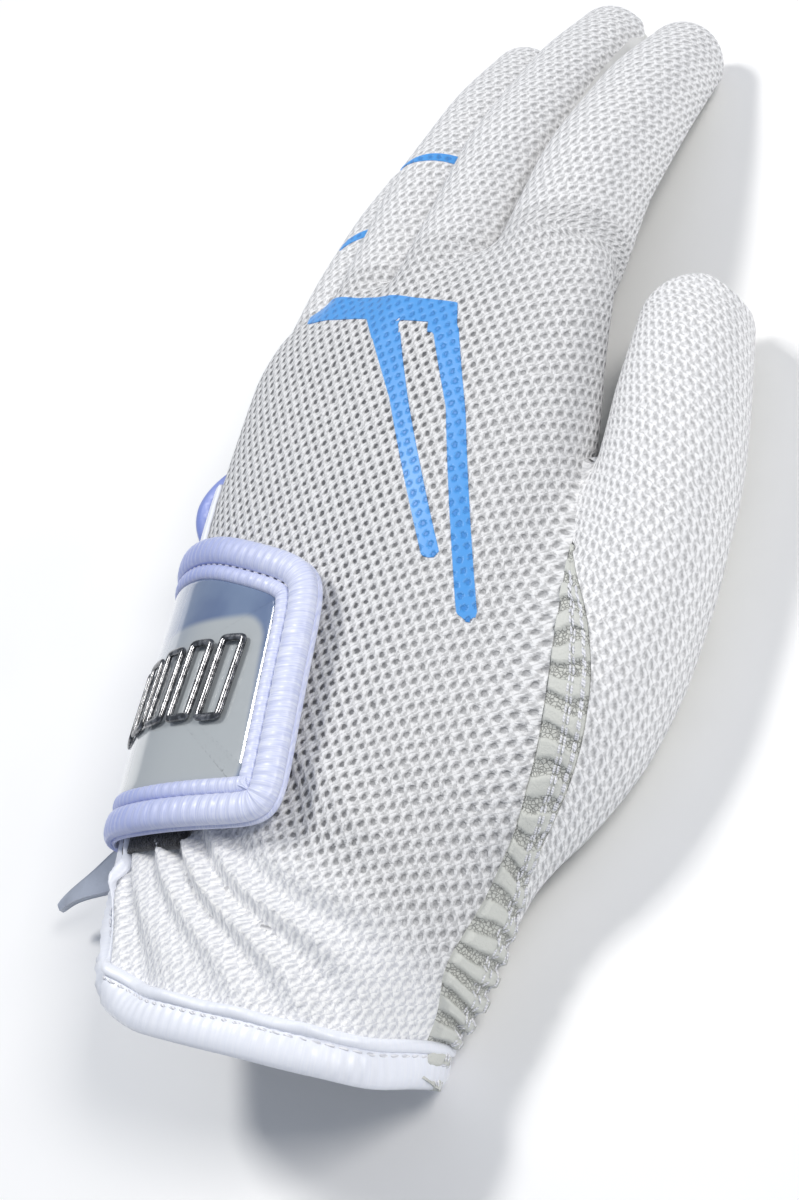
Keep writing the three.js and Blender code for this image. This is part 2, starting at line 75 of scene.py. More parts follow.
# base of the centre line, degrees of splay, degrees down and length of each bone, half sizes
FINGERS = {
    "index": dict(base=(24.4, 75.5, 26.5), splay=4.4, pitch=(4, 16.5, 23), bones=(45, 26, 18),
                  wide=(12.6, 11, 9.8, 8.6), high=(14, 12.4, 11, 8.8)),
    "middle": dict(base=(2.8, 79.5, 28.5), splay=3.9, pitch=(6, 17, 22.5), bones=(49, 30, 19),
                   wide=(9.8, 9.6, 9.2, 8.4), high=(14, 12.2, 10.8, 8.8)),
    "ring": dict(base=(-14.2, 73.5, 27.3), splay=2.9, pitch=(4, 14.5, 20), bones=(46, 30, 19),
                 wide=(9.2, 9, 8.8, 8), high=(13.6, 11.6, 10.2, 8.4)),
    "pinky": dict(base=(-29.5, 64, 23), splay=0, pitch=(4.5, 11.5, 15), bones=(36, 21, 17),
                  wide=(10.4, 8.8, 8.4, 7.4), high=(12.5, 10.2, 9.2, 7.8)),
}
# thumb centre line: x, y, z, half width, half height
THUMB = np.array([
    [38, -24, 13, 6, 9], [42, -12, 14.2, 12, 13], [47, 2, 15, 16.2, 14.6],
    [51, 16, 15.2, 16.6, 14.8], [55.5, 34, 15.2, 13.8, 14], [56.6, 54, 15.6, 12.9, 13.2],
    [55.2, 70, 15.4, 12.4, 12.2], [53.4, 87, 14, 10.8, 10.8],
])
# y, z of the inner axis that angles turn about, z of the radial seam, ulnar seam angle in degrees
SEAMS = np.array([
    [-95, 8, 3, 146], [-54, 8, 3, 147.5], [-38, 8, 4, 150], [-20, 8, 6, 153], [4, 8, 6.5, 156],
    [28, 8, 6.5, 157], [42, 12, 9, 160], [55, 16, 13, 165], [72, 22, 15, 179], [110, 22, 16, 180],
])
# seam between back and strip: y, x, z, direction of the skin there in degrees from +X towards +Z
BACK_SEAM = np.array([
    [-95, 35.5, 16, 5], [-51, 36.3, 15.5, 8], [-44, 37.2, 19.5, 22], [-30, 42.3, 18.5, 22],
    [-21, 46.2, 21, 35], [-8, 51, 26.5, 62], [1.5, 51.7, 28.8, 75], [18, 50.6, 29.8, 89],
    [32, 48.5, 28.5, 95], [42, 46.2, 27, 80], [50, 44.5, 25.2, 45], [57, 43.3, 23, 0], [70, 42, 23, 0],
])
# seam between strip and thumb, written the same way; above the strip's top both seams are one
THUMB_SEAM = np.array([
    [-95, 35.5, 5, -15], [-51, 36, 5, -15], [-40, 37, 6, -12], [-30, 42.5, 8, -8], [-21, 48.4, 16, 12],
    [-13, 54, 20, 27], [-5, 57.4, 23.4, 43], [5.5, 58.5, 26.6, 57], [10.5, 57.8, 28, 65],
    [16.6, 56.3, 29.1, 74], [23, 53.1, 29.5, 88], [32, 48.5, 28.5, 95], [70, 48.5, 28.5, 95],
])
STRIP_TOP, STRIP_LOW = 32.0, -62.0
# edge of the cuff and of the slit, unrolled: distance round from the top line, y
EDGE_CORNERS = [(-34.5, -38), (-26, -57), (-8, -63.5), (8, -65.3), (24, -66.3), (38, -65.5), (47, -62),
                (56, -59.5), (66, -57), (104, -46), (134, -38)]
SLIT_TOP = 50.0
SLIT_GAP = 3.2                          # half width of the slit at its middle


# ------------------------------------------------------------------ small maths
def smooth(t):
    t = np.clip(t, 0, 1)
    return t * t * (3 - 2 * t)


def lengths_along(path):
    """Distance from a path's first point to each of its points."""
    return np.r_[0, np.cumsum(np.linalg.norm(np.diff(path, axis=0), axis=1))]


def interpolated(x, at, values):
    """Each column of values, which are given at the places at, read at x."""
    return np.stack([np.interp(x, at, column) for column in values.T], -1)


def blur(values, sigma):
    """Gaussian blur of each column along the first direction, ends held."""
    reach = int(3 * sigma) + 1
    kernel = np.exp(-0.5 * (np.arange(-reach, reach + 1) / sigma) ** 2)
    kernel /= kernel.sum()
    padded = np.pad(values, [(reach, reach)] + [(0, 0)] * (values.ndim - 1), mode="edge")
    return np.apply_along_axis(lambda c: np.convolve(c, kernel, "valid"), 0, padded)


class Track:
    """Columns of a table as smooth functions of its first column."""

    def __init__(self, table, sigma):
        self.at = np.arange(table[0, 0], table[-1, 0], STEP)
        self.values = blur(interpolated(self.at, table[:, 0], table[:, 1:]), sigma / STEP)

    def __call__(self, y):
        return [np.interp(y, self.at, column) for column in self.values.T]


def soft_min(a, b, k):
    h = np.clip(0.5 + 0.5 * (b - a) / k, 0, 1)
    return b * (1 - h) + a * h - k * h * (1 - h)


def soft_max(a, b, k):
    return -soft_min(-a, -b, k)


hand_track = Track(HAND, 6)
seam_track = Track(SEAMS, 4)
back_seam = Track(BACK_SEAM, 2.5)
thumb_seam = Track(THUMB_SEAM, 2.5)


class Limb:
    """Finger or thumb as a tapering tube with round ends about a smooth centre line."""

    def __init__(self, points, wide, high, side):
        points = np.asarray(points, float)
        lengths = lengths_along(points)
        back = points[0] - (points[1] - points[0]) / lengths[1] * LEAD
        table = np.column_stack([np.vstack([back, points]), np.r_[wide[0], wide], np.r_[high[0], high]])
        self.end = lengths[-1]
        self.s = np.arange(-LEAD, self.end + 0.01, STEP)
        self.values = blur(interpolated(self.s, np.r_[-LEAD, lengths], table), LIMB_BLUR / STEP)
        tangent = np.gradient(self.values[:, :3], axis=0)
        self.tangent = tangent / np.linalg.norm(tangent, axis=1)[:, None]
        self.side = np.asarray(side, float)

    def line(self, s):
        """Points of the centre line, and its direction at them."""
        return interpolated(s, self.s, self.values[:, :3]), interpolated(s, self.s, self.tangent)

    def local(self, p):
        """Distance along, sideways offset, upward offset, overshoot past the end, half sizes."""
        s = np.interp(p[:, 1], self.values[:, 1], self.s)
        for _ in range(2):
            c, t = self.line(s)
            s = np.clip(s + np.einsum("ij,ij->i", p - c, t), self.s[0], self.end)
        c, t = self.line(s)
        side = np.cross(t, np.cross(self.side, t))
        side /= np.linalg.norm(side, axis=1)[:, None]
        up = np.cross(side, t)
        d = p - c
        wide = np.interp(s, self.s, self.values[:, 3])
        high = np.interp(s, self.s, self.values[:, 4])
        return (s, np.einsum("ij,ij->i", d, side), np.einsum("ij,ij->i", d, up),
                np.einsum("ij,ij->i", d, t), wide, high)

    def field(self, p):
        s, a, u, f, wide, high = self.local(p)
        q = np.sqrt((a / wide) ** 2 + (u / high) ** 2 + (f / high) ** 2) + 1e-9
        r = np.sqrt(a * a + u * u + f * f)
        return r - r / q


def finger_limb(spec):
    point = np.array(spec["base"], float)
    points = [point]
    splay = math.radians(spec["splay"])
    for bone, pitch in zip(spec["bones"], spec["pitch"]):
        down = math.radians(pitch)
        step = (math.sin(splay) * math.cos(down), math.cos(splay) * math.cos(down), -math.sin(down))
        point = point + bone * np.array(step)
        points.append(point)
    return Limb(points, spec["wide"], spec["high"], (math.cos(splay), -math.sin(splay), 0))


limbs = {name: finger_limb(spec) for name, spec in FINGERS.items()}
thumb = Limb(THUMB[:, :3], THUMB[:, 3], THUMB[:, 4], (1, 0, 0))


def web_line(p):
    """y, measured along the slanting line of the finger webs."""
    return p[:, 1] - WEB_SLOPE * p[:, 0]


def hand_field(p):
    ulnar, radial, top, under = hand_track(p[:, 1])
    cx, a = (ulnar + radial) / 2, (radial - ulnar) / 2
    cz, b = (top + under) / 2, (top - under) / 2
    dx, dz = p[:, 0] - cx, p[:, 2] - cz
    q = (np.abs(dx / a) ** SQUARE + np.abs(dz / b) ** SQUARE) ** (1 / SQUARE) + 1e-9
    r = np.hypot(dx, dz)
    cap = (web_line(p) - WEB_Y) / math.hypot(1, WEB_SLOPE)
    return soft_max(r - r / q, cap, 9)


def limb_field(limb, p, low_y):
    out = np.full(len(p), FAR)
    near = p[:, 1] > low_y
    out[near] = limb.field(p[near])
    return out


def sunk(p):
    """How far the finger tubes draw in where they run on inside the hand."""
    return SINK_MM * (1 - smooth((web_line(p) - 62) / 34))


def ebb(p):
    """How far the hand's own surface sinks between the fingers as it nears the webs."""
    return EBB_MM * smooth((web_line(p) - 79) / 18)


def body_field(p):
    """Hand and fingers, without the thumb."""
    fingers = np.full(len(p), FAR)
    for limb in limbs.values():
        fingers = np.minimum(fingers, limb_field(limb, p, 40))
    return soft_min(hand_field(p) + ebb(p), fingers + sunk(p), FINGER_MERGE)


def glove_field(p):
    """Signed distance in mm, roughly, to the glove's outer skin; below zero inside."""
    d = body_field(p)
    merge = 1.0 + 8.0 * (1 - smooth((p[:, 1] - 38) / 22))
    d = soft_min(d, limb_field(thumb, p, -60), merge)
    return soft_max(d, 0.0 - p[:, 2], 1.2)


def gradient(p, step=0.4):
    g = np.empty_like(p)
    for k in range(3):
        e = np.zeros(3)
        e[k] = step
        g[:, k] = glove_field(p + e) - glove_field(p - e)
    return g / (2 * step)


def unit(v):
    return v / np.maximum(np.linalg.norm(v, axis=-1, keepdims=True), 1e-9)


def settle(p, level=0.0, turns=3):
    """Moves points along the field's slope onto a level of the glove field."""
    for _ in range(turns):
        g = gradient(p)
        f = (glove_field(p) - level)[:, None]
        move = g * f / np.maximum((g * g).sum(1, keepdims=True), 0.2)
        p = p - np.clip(move, -1.5, 1.5)
    return p


# ------------------------------------------------------------------ the whole skin
def spread(p):
    """Undoes the spread lattice: fingers and thumb stand apart there so that they don't fuse."""
    fan = 0.34 * smooth((p[:, 1] - 80) / 24)
    x = p[:, 0] / (1 + fan)
    shift = 7.0 * smooth((p[:, 1] - 50) / 12) * (1 - smooth((p[:, 1] - 100) / 14))
    x = np.where(x > 43.2 + shift, x - shift, np.where(x > 43.2, 43.2, x))
    return np.column_stack([x, p[:, 1], p[:, 2]])


def surface_net(values, low, cell):
    """Quads where a lattice of values changes sign."""
    inside = values < 0
    corner = [(i, j, k) for i in (0, 1) for j in (0, 1) for k in (0, 1)]
    n = [s - 1 for s in values.shape]

    def at(array, c):
        return array[c[0]:c[0] + n[0], c[1]:c[1] + n[1], c[2]:c[2] + n[2]]

    count = sum(at(inside, c).astype(np.int8) for c in corner)
    active = (count > 0) & (count < 8)
    index = np.full(active.shape, -1)
    index[active] = np.arange(active.sum())
    where = np.argwhere(active)
    total = np.zeros((len(where), 3))
    hits = np.zeros(len(where))
    for a in corner:
        for axis in range(3):
            if a[axis]:
                continue
            b = list(a)
            b[axis] = 1
            fa, fb = at(values, a)[active], at(values, tuple(b))[active]
            cross = (fa < 0) != (fb < 0)
            t = fa[cross] / (fa[cross] - fb[cross])
            point = np.array(a, float) + np.outer(t, np.eye(3)[axis])
            total[cross] += point
            hits[cross] += 1
    points = (where + total / hits[:, None]) * cell + low
    quads = []
    for axis in range(3):
        u, v = [(1, 2), (2, 0), (0, 1)][axis]
        first = [slice(0, None)] * 3
        second = [slice(0, None)] * 3
        first[axis], second[axis] = slice(0, -1), slice(1, None)
        change = inside[tuple(first)].astype(np.int8) - inside[tuple(second)].astype(np.int8)
        edge = np.argwhere(change != 0)
        edge = edge[(edge[:, u] > 0) & (edge[:, v] > 0)
                    & (edge[:, u] < n[u]) & (edge[:, v] < n[v]) & (edge[:, axis] < n[axis])]
        sign = change[tuple(edge.T)]
        eu, ev = np.eye(3, dtype=int)[u], np.eye(3, dtype=int)[v]
        ring = [index[tuple((edge - o).T)] for o in (eu * 0, eu, eu + ev, ev)]
        quad = np.stack(ring, 1)
        quads.append(np.where(sign[:, None] > 0, quad, quad[:, ::-1]))
    return points, np.vstack(quads)


def relax(points, faces, turns):
    """Evens out the points along the surface."""
    i, j = faces.ravel(), np.roll(faces, -1, 1).ravel()
    for _ in range(turns):
        total = np.zeros_like(points)
        np.add.at(total, i, points[j])
        np.add.at(total, j, points[i])
        degree = np.bincount(np.r_[i, j], minlength=len(points))[:, None]
        pull = total / np.maximum(degree, 1) - points
        normal = unit(gradient(points))
        pull -= normal * (pull * normal).sum(1, keepdims=True)
        points = points + 0.6 * pull
    return points


def whole_skin():
    low = np.array([-62.0, -72.0, -4.0])
    high = np.array([80.0, 192.0, 50.0])
    count = ((high - low) / CELL).astype(int)
    axes = [low[k] + CELL * np.arange(count[k]) for k in range(3)]
    values = np.empty(count)
    for start in range(0, count[1], 24):
        block = axes[1][start:start + 24]
        grid = np.stack(np.meshgrid(axes[0], block, axes[2], indexing="ij"), -1)
        values[:, start:start + 24] = glove_field(spread(grid.reshape(-1, 3))).reshape(grid.shape[:3])
    points, quads = surface_net(values, low, CELL)
    points = settle(spread(points))
    points = settle(relax(points, quads, 2), turns=2)
    faces = np.vstack([quads[:, [0, 1, 2]], quads[:, [0, 2, 3]]])
    return points, faces


# ------------------------------------------------------------------ the hand unrolled
def axis_angle(p, axis_z):
    """Degrees round the hand's inner axis, from the bottom line by the thumb side and over the top."""
    deg = np.degrees(np.arctan2(p[:, 2] - axis_z, p[:, 0] - AXIS_X))
    return np.where(deg < -90, deg + 360, deg)


def read_table(table, row, column):
    """Values of a table between its rows and columns."""
    row = np.clip(row, 0, table.shape[0] - 1.001)
    column = np.clip(column, 0, table.shape[1] - 1.001)
    i, j = row.astype(int), column.astype(int)
    a, b = row - i, column - j
    if table.ndim == 3:
        a, b = a[:, None], b[:, None]
    return ((1 - a) * ((1 - b) * table[i, j] + b * table[i, j + 1])
            + a * ((1 - b) * table[i + 1, j] + b * table[i + 1, j + 1]))


class Chart:
    """The hand without its thumb, unrolled: q round it from the top line and y along it."""

    def __init__(self):
        self.y = np.arange(-78.0, 108.0, 1.0)
        self.deg = np.arange(-90.0, 271.0, 2.0)
        yy, dd = np.meshgrid(self.y, np.radians(self.deg), indexing="ij")
        yy, dd = yy.ravel(), dd.ravel()
        origin = np.column_stack([np.full(len(yy), AXIS_X), yy, seam_track(yy)[0]])
        ray = np.column_stack([np.cos(dd), 0 * dd, np.sin(dd)])
        reach = np.full(len(yy), 75.0)
        for _ in range(26):
            reach = reach - 0.85 * body_field(origin + ray * reach[:, None])
        points = (origin + ray * reach[:, None]).reshape(len(self.y), len(self.deg), 3)
        step = np.linalg.norm(np.diff(points, axis=1), axis=2)
        arc = np.concatenate([np.zeros((len(self.y), 1)), np.cumsum(step, 1)], 1)
        top = np.array([np.interp(0, -row[60:110, 0], a[60:110]) for row, a in zip(points, arc)])
        self.q_table = top[:, None] - arc
        self.q = np.arange(-130.0, 185.0, 1.0)
        self.table = np.empty((len(self.y), len(self.q), 3))
        for i, (row, q) in enumerate(zip(points, self.q_table)):
            girth = q[0] - q[-1]
            q3 = np.concatenate([q[::-1][:-1] - girth, q[::-1][:-1], q[::-1] + girth])
            row3 = np.concatenate([row[::-1][:-1], row[::-1][:-1], row[::-1]])
            for k in range(3):
                self.table[i, :, k] = np.interp(self.q, q3, row3[:, k])
        self.girth = self.q_table[:, 0] - self.q_table[:, -1]

    def at(self, q, y):
        """Points of the smooth skin."""
        return read_table(self.table, y - self.y[0], q - self.q[0])

    def q_of(self, p):
        """Distance round from the top line, between the bottom line's two ends."""
        deg = axis_angle(p, seam_track(p[:, 1])[0])
        return read_table(self.q_table, p[:, 1] - self.y[0], (deg + 90) / 2)

    def lift(self, q, y, height, laid=False):
        """Points at a height above the skin: with its gathers, or laid smoothly over them."""
        p = self.at(q, y)
        p[:, 2] = FLOOR_CLEAR + np.logaddexp(0, 2 * (p[:, 2] - FLOOR_CLEAR)) / 2
        normal = unit(gradient(p))
        if laid:
            thinner = 0.5 * smooth((-12 - q) / 30)              # towards the edge of the hand
            return p + normal * (height * (1 - thinner))[:, None]
        return p + normal * (height + gathers(q, y))[:, None]


FAN_Q, FAN_Y = -38.0, -2.0              # the cuff's gathers fan out from here
FOLD_DEG = 8.6                          # angle between two gathers
GATHER_MM = 1.45                        # their height


def gathers(q, y):
    """Height of the diagonal folds that the elastic draws into the cuff of the back."""
    dq, dy = q - FAN_Q, y - FAN_Y
    turn = np.degrees(np.arctan2(-dy, dq))
    radius = np.hypot(dq, dy)
    phase = turn / FOLD_DEG + 0.3 * np.sin(radius / 8.0 + turn / 9.0) + 0.3 * np.sin(turn / 6.5)
    ridge = np.cos(2 * math.pi * phase)
    ridge = 0.6 * ridge + 0.4 * np.abs(ridge) * ridge
    size = smooth((turn - 8) / 14) * smooth((88 - turn) / 14)
    size = size * smooth((radius - 24) / 14) * smooth((q + 33) / 8) * smooth((38 - q) / 14)
    size = size * smooth((y + 61 + 0.05 * q) / 6)
    uneven = 0.8 + 0.35 * np.sin(turn / 4.1 + radius / 15.0)
    return GATHER_MM * ridge * size * uneven


def joined(corners, rounding, step=STEP, closed=False):
    """A path of small steps through corner points, with its corners rounded."""
    corners = np.asarray(corners, float)
    if closed:
        corners = np.vstack([corners, corners[:1]])
    lengths = lengths_along(corners)
    count = int(lengths[-1] / step)
    path = interpolated(np.linspace(0, lengths[-1], count, endpoint=not closed), lengths, corners)
    if closed:
        wide = np.vstack([path] * 3)
        return blur(wide, rounding / step)[count:2 * count]
    reach = int(3 * rounding / step)
    before = path[0] - (path[1] - path[0]) * np.arange(reach, 0, -1)[:, None]
    after = path[-1] + (path[-1] - path[-2]) * np.arange(1, reach + 1)[:, None]
    return blur(np.vstack([before, path, after]), rounding / step)[reach:-reach]


chart = Chart()


def ulnar_seam(y):
    """q of the ulnar seam at each y, on the back's side."""
    axis_z, _, deg = seam_track(y)
    table = [np.interp((d + 90) / 2, np.arange(len(chart.deg)), row)
             for d, row in zip(deg, chart.q_table[np.clip((y - chart.y[0]).astype(int), 0, 185)])]
    return np.array(table)


def slit_half(y):
    return SLIT_GAP * smooth((SLIT_TOP - y) / 30)


def cuff_edge():
    """Unrolled edge of the opening, from the slit's top down, round the cuff and back up."""
    y = np.arange(SLIT_TOP, -30, -2.0)
    down = np.column_stack([ulnar_seam(y) + slit_half(y), y])
    y = y[::-1]
    girth = np.interp(y, chart.y, chart.girth)
    up = np.column_stack([ulnar_seam(y) + girth - slit_half(y), y])
    return joined(np.vstack([down, EDGE_CORNERS, up]), 3.5)


edge = cuff_edge()


def outline_test(x, y, corners, top=np.inf):
    """Distance from a closed outline, and which points are in it. Edges above top don't count
    for the distance."""
    best = np.full(len(x), 1e9)
    odd = np.zeros(len(x), bool)
    for a, b in zip(corners, np.roll(corners, -1, 0)):
        ab = b - a
        t = np.clip(((x - a[0]) * ab[0] + (y - a[1]) * ab[1]) / max(ab @ ab, 1e-9), 0, 1)
        if min(a[1], b[1]) <= top:
            best = np.minimum(best, (x - a[0] - t * ab[0]) ** 2 + (y - a[1] - t * ab[1]) ** 2)
        cross = (a[1] > y) != (b[1] > y)
        with np.errstate(divide="ignore", invalid="ignore"):
            odd ^= cross & (x < a[0] + (y - a[1]) * ab[0] / ab[1])
    return np.sqrt(best), odd


def inside_edge(q, y):
    """Signed distance in the unrolled plane from the cuff and slit edge, positive on the fabric."""
    seam = np.interp(y, chart.y, ulnar_seam(chart.y))
    girth = np.interp(y, chart.y, chart.girth)
    q = np.where(q < seam, q + girth, q)
    outline = np.vstack([edge, [edge[-1, 0], 140], [edge[0, 0], 140]])
    distance, odd = outline_test(q, y, outline, SLIT_TOP)
    return np.where(odd | (y > SLIT_TOP), distance, -distance)


# ------------------------------------------------------------------ seams on the skin
def beside(track, p):
    """Signed distance in mm from a seam's line, positive towards the back."""
    x, z, deg = track(p[:, 1])
    turn = np.radians(deg)
    return -np.sin(turn) * (p[:, 0] - x) + np.cos(turn) * (p[:, 2] - z)


def finger_seams(p, web, member):
    """Fields of the fingers' upper and lower side seams, and 1 on each one's thumb side."""
    upper = np.full(len(p), 6.0)
    lower = np.full(len(p), 6.0)
    side = np.ones(len(p), int)
    for k, (name, limb) in enumerate(limbs.items()):
        mine = member == k
        if not mine.any():
            continue
        s, a, u, f, wide, high = limb.local(p[mine])
        across = a / wide
        if name == "index":
            walled = smooth(0.5 - across)
        elif name == "pinky":
            walled = smooth(0.5 + across)
        else:
            walled = 1.0 + 0 * a
        closing = smooth((s + f - limb.end + 5) / 9)    # both seams meet over the fingertip
        opening = walled * (1 - closing) * smooth((web[mine] - 91) / 6)
        outer = -0.75 if name == "index" else 0.0
        high_line = outer + (0.26 - outer) * walled * (1 - closing)
        low_line = high_line - 0.8 * opening
        upper[mine] = (u / high - high_line) * high
        lower[mine] = (u / high - low_line) * high
        side[mine] = np.where(a > 0, 1, 0)
    return upper, lower, side


def seam_fields(p):
    """Every seam as a field that is zero on it, in mm."""
    y = p[:, 1]
    axis_z, radial_z, ulnar_deg = seam_track(y)
    web = web_line(p)
    fields = np.stack([limb_field(limb, p, 60) for limb in limbs.values()])
    member = np.where(web > 80, fields.argmin(0), -1)
    rest = soft_min(hand_field(p) + ebb(p), fields.min(0) + sunk(p), FINGER_MERGE)
    out = {"web": web, "past_web": web - WEB_CUT, "member": member,
           "thumb": rest - limb_field(thumb, p, -60)}           # positive on the thumb
    for k in range(3):
        out[f"between_{k}"] = np.where(web > 86, fields[k] - fields[k + 1], 5.0)
    back_hand = np.where(p[:, 0] > AXIS_X, np.clip(p[:, 2] - radial_z, -6, 6),
                         np.clip(0.8 * (ulnar_deg - axis_angle(p, axis_z)), -6, 6))
    # fingers: back above the upper side seam, palm below the lower one, side walls between them
    upper, lower, out["side"] = finger_seams(p, web, member)
    w = np.where(member >= 0, smooth((web - 80) / 10), 0)
    weight = smooth(0.5 + out["thumb"] / 5) * smooth((y - 34) / 14)
    hand_part = back_hand * (1 - weight) + (p[:, 2] - 6.5) * weight
    out["back"] = hand_part * (1 - w) + upper * w
    out["palm_line"] = hand_part * (1 - w) + lower * w
    strip_back = beside(back_seam, p)
    strip_thumb = beside(thumb_seam, p)
    free = smooth((y - 50) / 7)
    apart = np.clip(-out["thumb"], -6, 6)
    off_thumb = np.where(y > 32, strip_back, strip_thumb)
    out["off_thumb"] = np.clip(off_thumb, -9, 9) * (1 - free) + apart * free
    out["strip_back"] = np.where(y < 34, strip_back, 9.0)
    out["q"] = chart.q_of(p)
    near_edge = y < 60
    out["rim"] = np.full(len(p), 30.0)
    out["rim"][near_edge] = inside_edge(out["q"][near_edge], y[near_edge])
    return out


def polygon_distance(x, y, corners):
    """Signed distance from a closed outline in the plane, negative inside."""
    distance, odd = outline_test(x, y, np.asarray(corners, float))
    return np.where(odd, -1, 1) * distance


# outlines of the blue print seen from above: the bar over the knuckles, and its two legs
BAR = [(-25.6, 90.4), (18, 79.5), (20, 72.8), (13.5, 72.8), (13, 75.4), (5.4, 77), (7, 72.8),
       (0.8, 72.8), (-3, 78.8), (-22, 83)]
ULNAR_LEG = [(0.4, 73.8), (7.0, 73.8), (13.9, 57.6), (28.4, 26), (27.5, 24.6), (25.4, 25),
             (9.5, 58.5)]
RADIAL_LEG = [(14.5, 73.8), (20, 73.8), (26.4, 55), (37, 15.2), (35.8, 13.6), (33.8, 14.8),
              (22.4, 55.7)]
NO_PRINT = 9.0                          # print field of the skin that faces down


def print_field(p):
    """Signed distance from the blue print seen from above, negative inside it."""
    x, y = p[:, 0], p[:, 1]
    shapes = [polygon_distance(x, y, s) for s in (BAR, ULNAR_LEG, RADIAL_LEG)]
    flat = np.minimum(np.minimum(shapes[0], shapes[1]), shapes[2])
    return np.where(p[:, 2] > 18, flat, NO_PRINT)


def ring_field(p):
    """Signed distance from the slanting mark across the ring finger, which narrows to one side."""
    taper = 0.35 + 0.75 * smooth((p[:, 0] + 15.5) / 7)
    d = np.maximum(np.abs(p[:, 1] - 126.4 - 0.3 * (p[:, 0] + 9)) - taper, np.abs(p[:, 0] + 9.2) - 5.6)
    return np.where(p[:, 2] > 27, d, NO_PRINT)


def pinky_field(p):
    """Signed distance from the short slanting mark on the little finger."""
    d = np.maximum(np.abs(p[:, 1] - 114.5 - 0.7 * (p[:, 0] + 29)) - 1.3, np.abs(p[:, 0] + 29) - 2.8)
    return np.where(p[:, 2] > 22, d, NO_PRINT)


def cut(points, faces, values):
    """Splits faces along the zero line of a field given at the points."""
    values = np.where(np.abs(values) < 1e-6, 1e-6, values)
    pair = np.sort(np.stack([faces, np.roll(faces, -1, 1)], 2).reshape(-1, 2), 1)
    edges, which = np.unique(pair, axis=0, return_inverse=True)
    which = which.reshape(-1, 3)
    a, b = edges.T
    points = points.copy()
    for end, other in ((a, b), (b, a)):
        crossing = values[end] * values[other] < 0
        t = values[end] / np.where(crossing, values[end] - values[other], 1)
        close = crossing & (t < 0.22)
        points[end[close]] += (points[other[close]] - points[end[close]]) * t[close, None]
        values[end[close]] = 0
    crossing = values[a] * values[b] < 0
    t = (values[a] / np.where(crossing, values[a] - values[b], 1))[crossing, None]
    fresh = np.full(len(edges), -1)
    fresh[crossing] = len(points) + np.arange(crossing.sum())
    points = np.vstack([points, points[a[crossing]] * (1 - t) + points[b[crossing]] * t])
    mid = fresh[which]
    hits = (mid >= 0).sum(1)
    parts = [faces[hits == 0]]
    for k in range(3):
        roll = [k, (k + 1) % 3, (k + 2) % 3]
        one = (hits == 1) & (mid[:, k] >= 0)
        v, m = faces[one][:, roll], mid[one][:, roll]
        parts += [np.stack([v[:, 0], m[:, 0], v[:, 2]], 1), np.stack([m[:, 0], v[:, 1], v[:, 2]], 1)]
        two = (hits == 2) & (mid[:, roll[1]] < 0)
        v, m = faces[two][:, roll], mid[two][:, roll]
        parts += [np.stack([v[:, 0], m[:, 0], m[:, 2]], 1), np.stack([m[:, 0], v[:, 1], v[:, 2]], 1),
                  np.stack([m[:, 0], v[:, 2], m[:, 2]], 1)]
    return points, np.vstack(parts)


# ------------------------------------------------------------------ making Blender objects
MM = 0.001
UV_SCALE = 0.01                         # UV units per mm


def make_object(name, verts, faces, uv=None, normals=None, smooth_faces=True):
    """Mesh object from points and UVs in mm. The UV layer holds them times UV_SCALE."""
    mesh = bpy.data.meshes.new(name)
    verts = np.asarray(verts, float) * MM
    sizes = np.array([len(f) for f in faces], np.int32)
    flat = np.concatenate([np.asarray(f, np.int32) for f in faces])
    mesh.vertices.add(len(verts))
    mesh.vertices.foreach_set("co", verts.ravel())
    mesh.loops.add(len(flat))
    mesh.loops.foreach_set("vertex_index", flat)
    mesh.polygons.add(len(sizes))
    mesh.polygons.foreach_set("loop_start", np.r_[0, np.cumsum(sizes)[:-1]].astype(np.int32))
    mesh.update(calc_edges=True)
    mesh.polygons.foreach_set("use_smooth", np.full(len(sizes), smooth_faces))
    if uv is not None:
        layer = mesh.uv_layers.new(name="UVMap")
        layer.data.foreach_set("uv", (uv[flat] * UV_SCALE).ravel())
    if normals is not None:
        mesh.normals_split_custom_set(normals)
    mesh.validate()
    obj = bpy.data.objects.new(name, mesh)
    bpy.context.scene.collection.objects.link(obj)
    return obj


def finish_piece(obj, material, nodes=(), ride="hand", bend=None):
    """Gives a piece its material and hides the CAD nodes it stands for. Without bend it is attached to the
    body it rides with; with bend its transform is only baked into its mesh.
    """
    obj.data.materials.append(material)
    if nodes:
        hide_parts(*nodes)
    if bend:
        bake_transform(obj)
    else:
        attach(obj, ride)
    return obj


def point_normals(points, faces):
    a, b, c = (points[faces[:, k]] for k in range(3))
    area = np.cross(b - a, c - a)
    total = np.zeros_like(points)
    for k in range(3):
        np.add.at(total, faces[:, k], area)
    return unit(total)


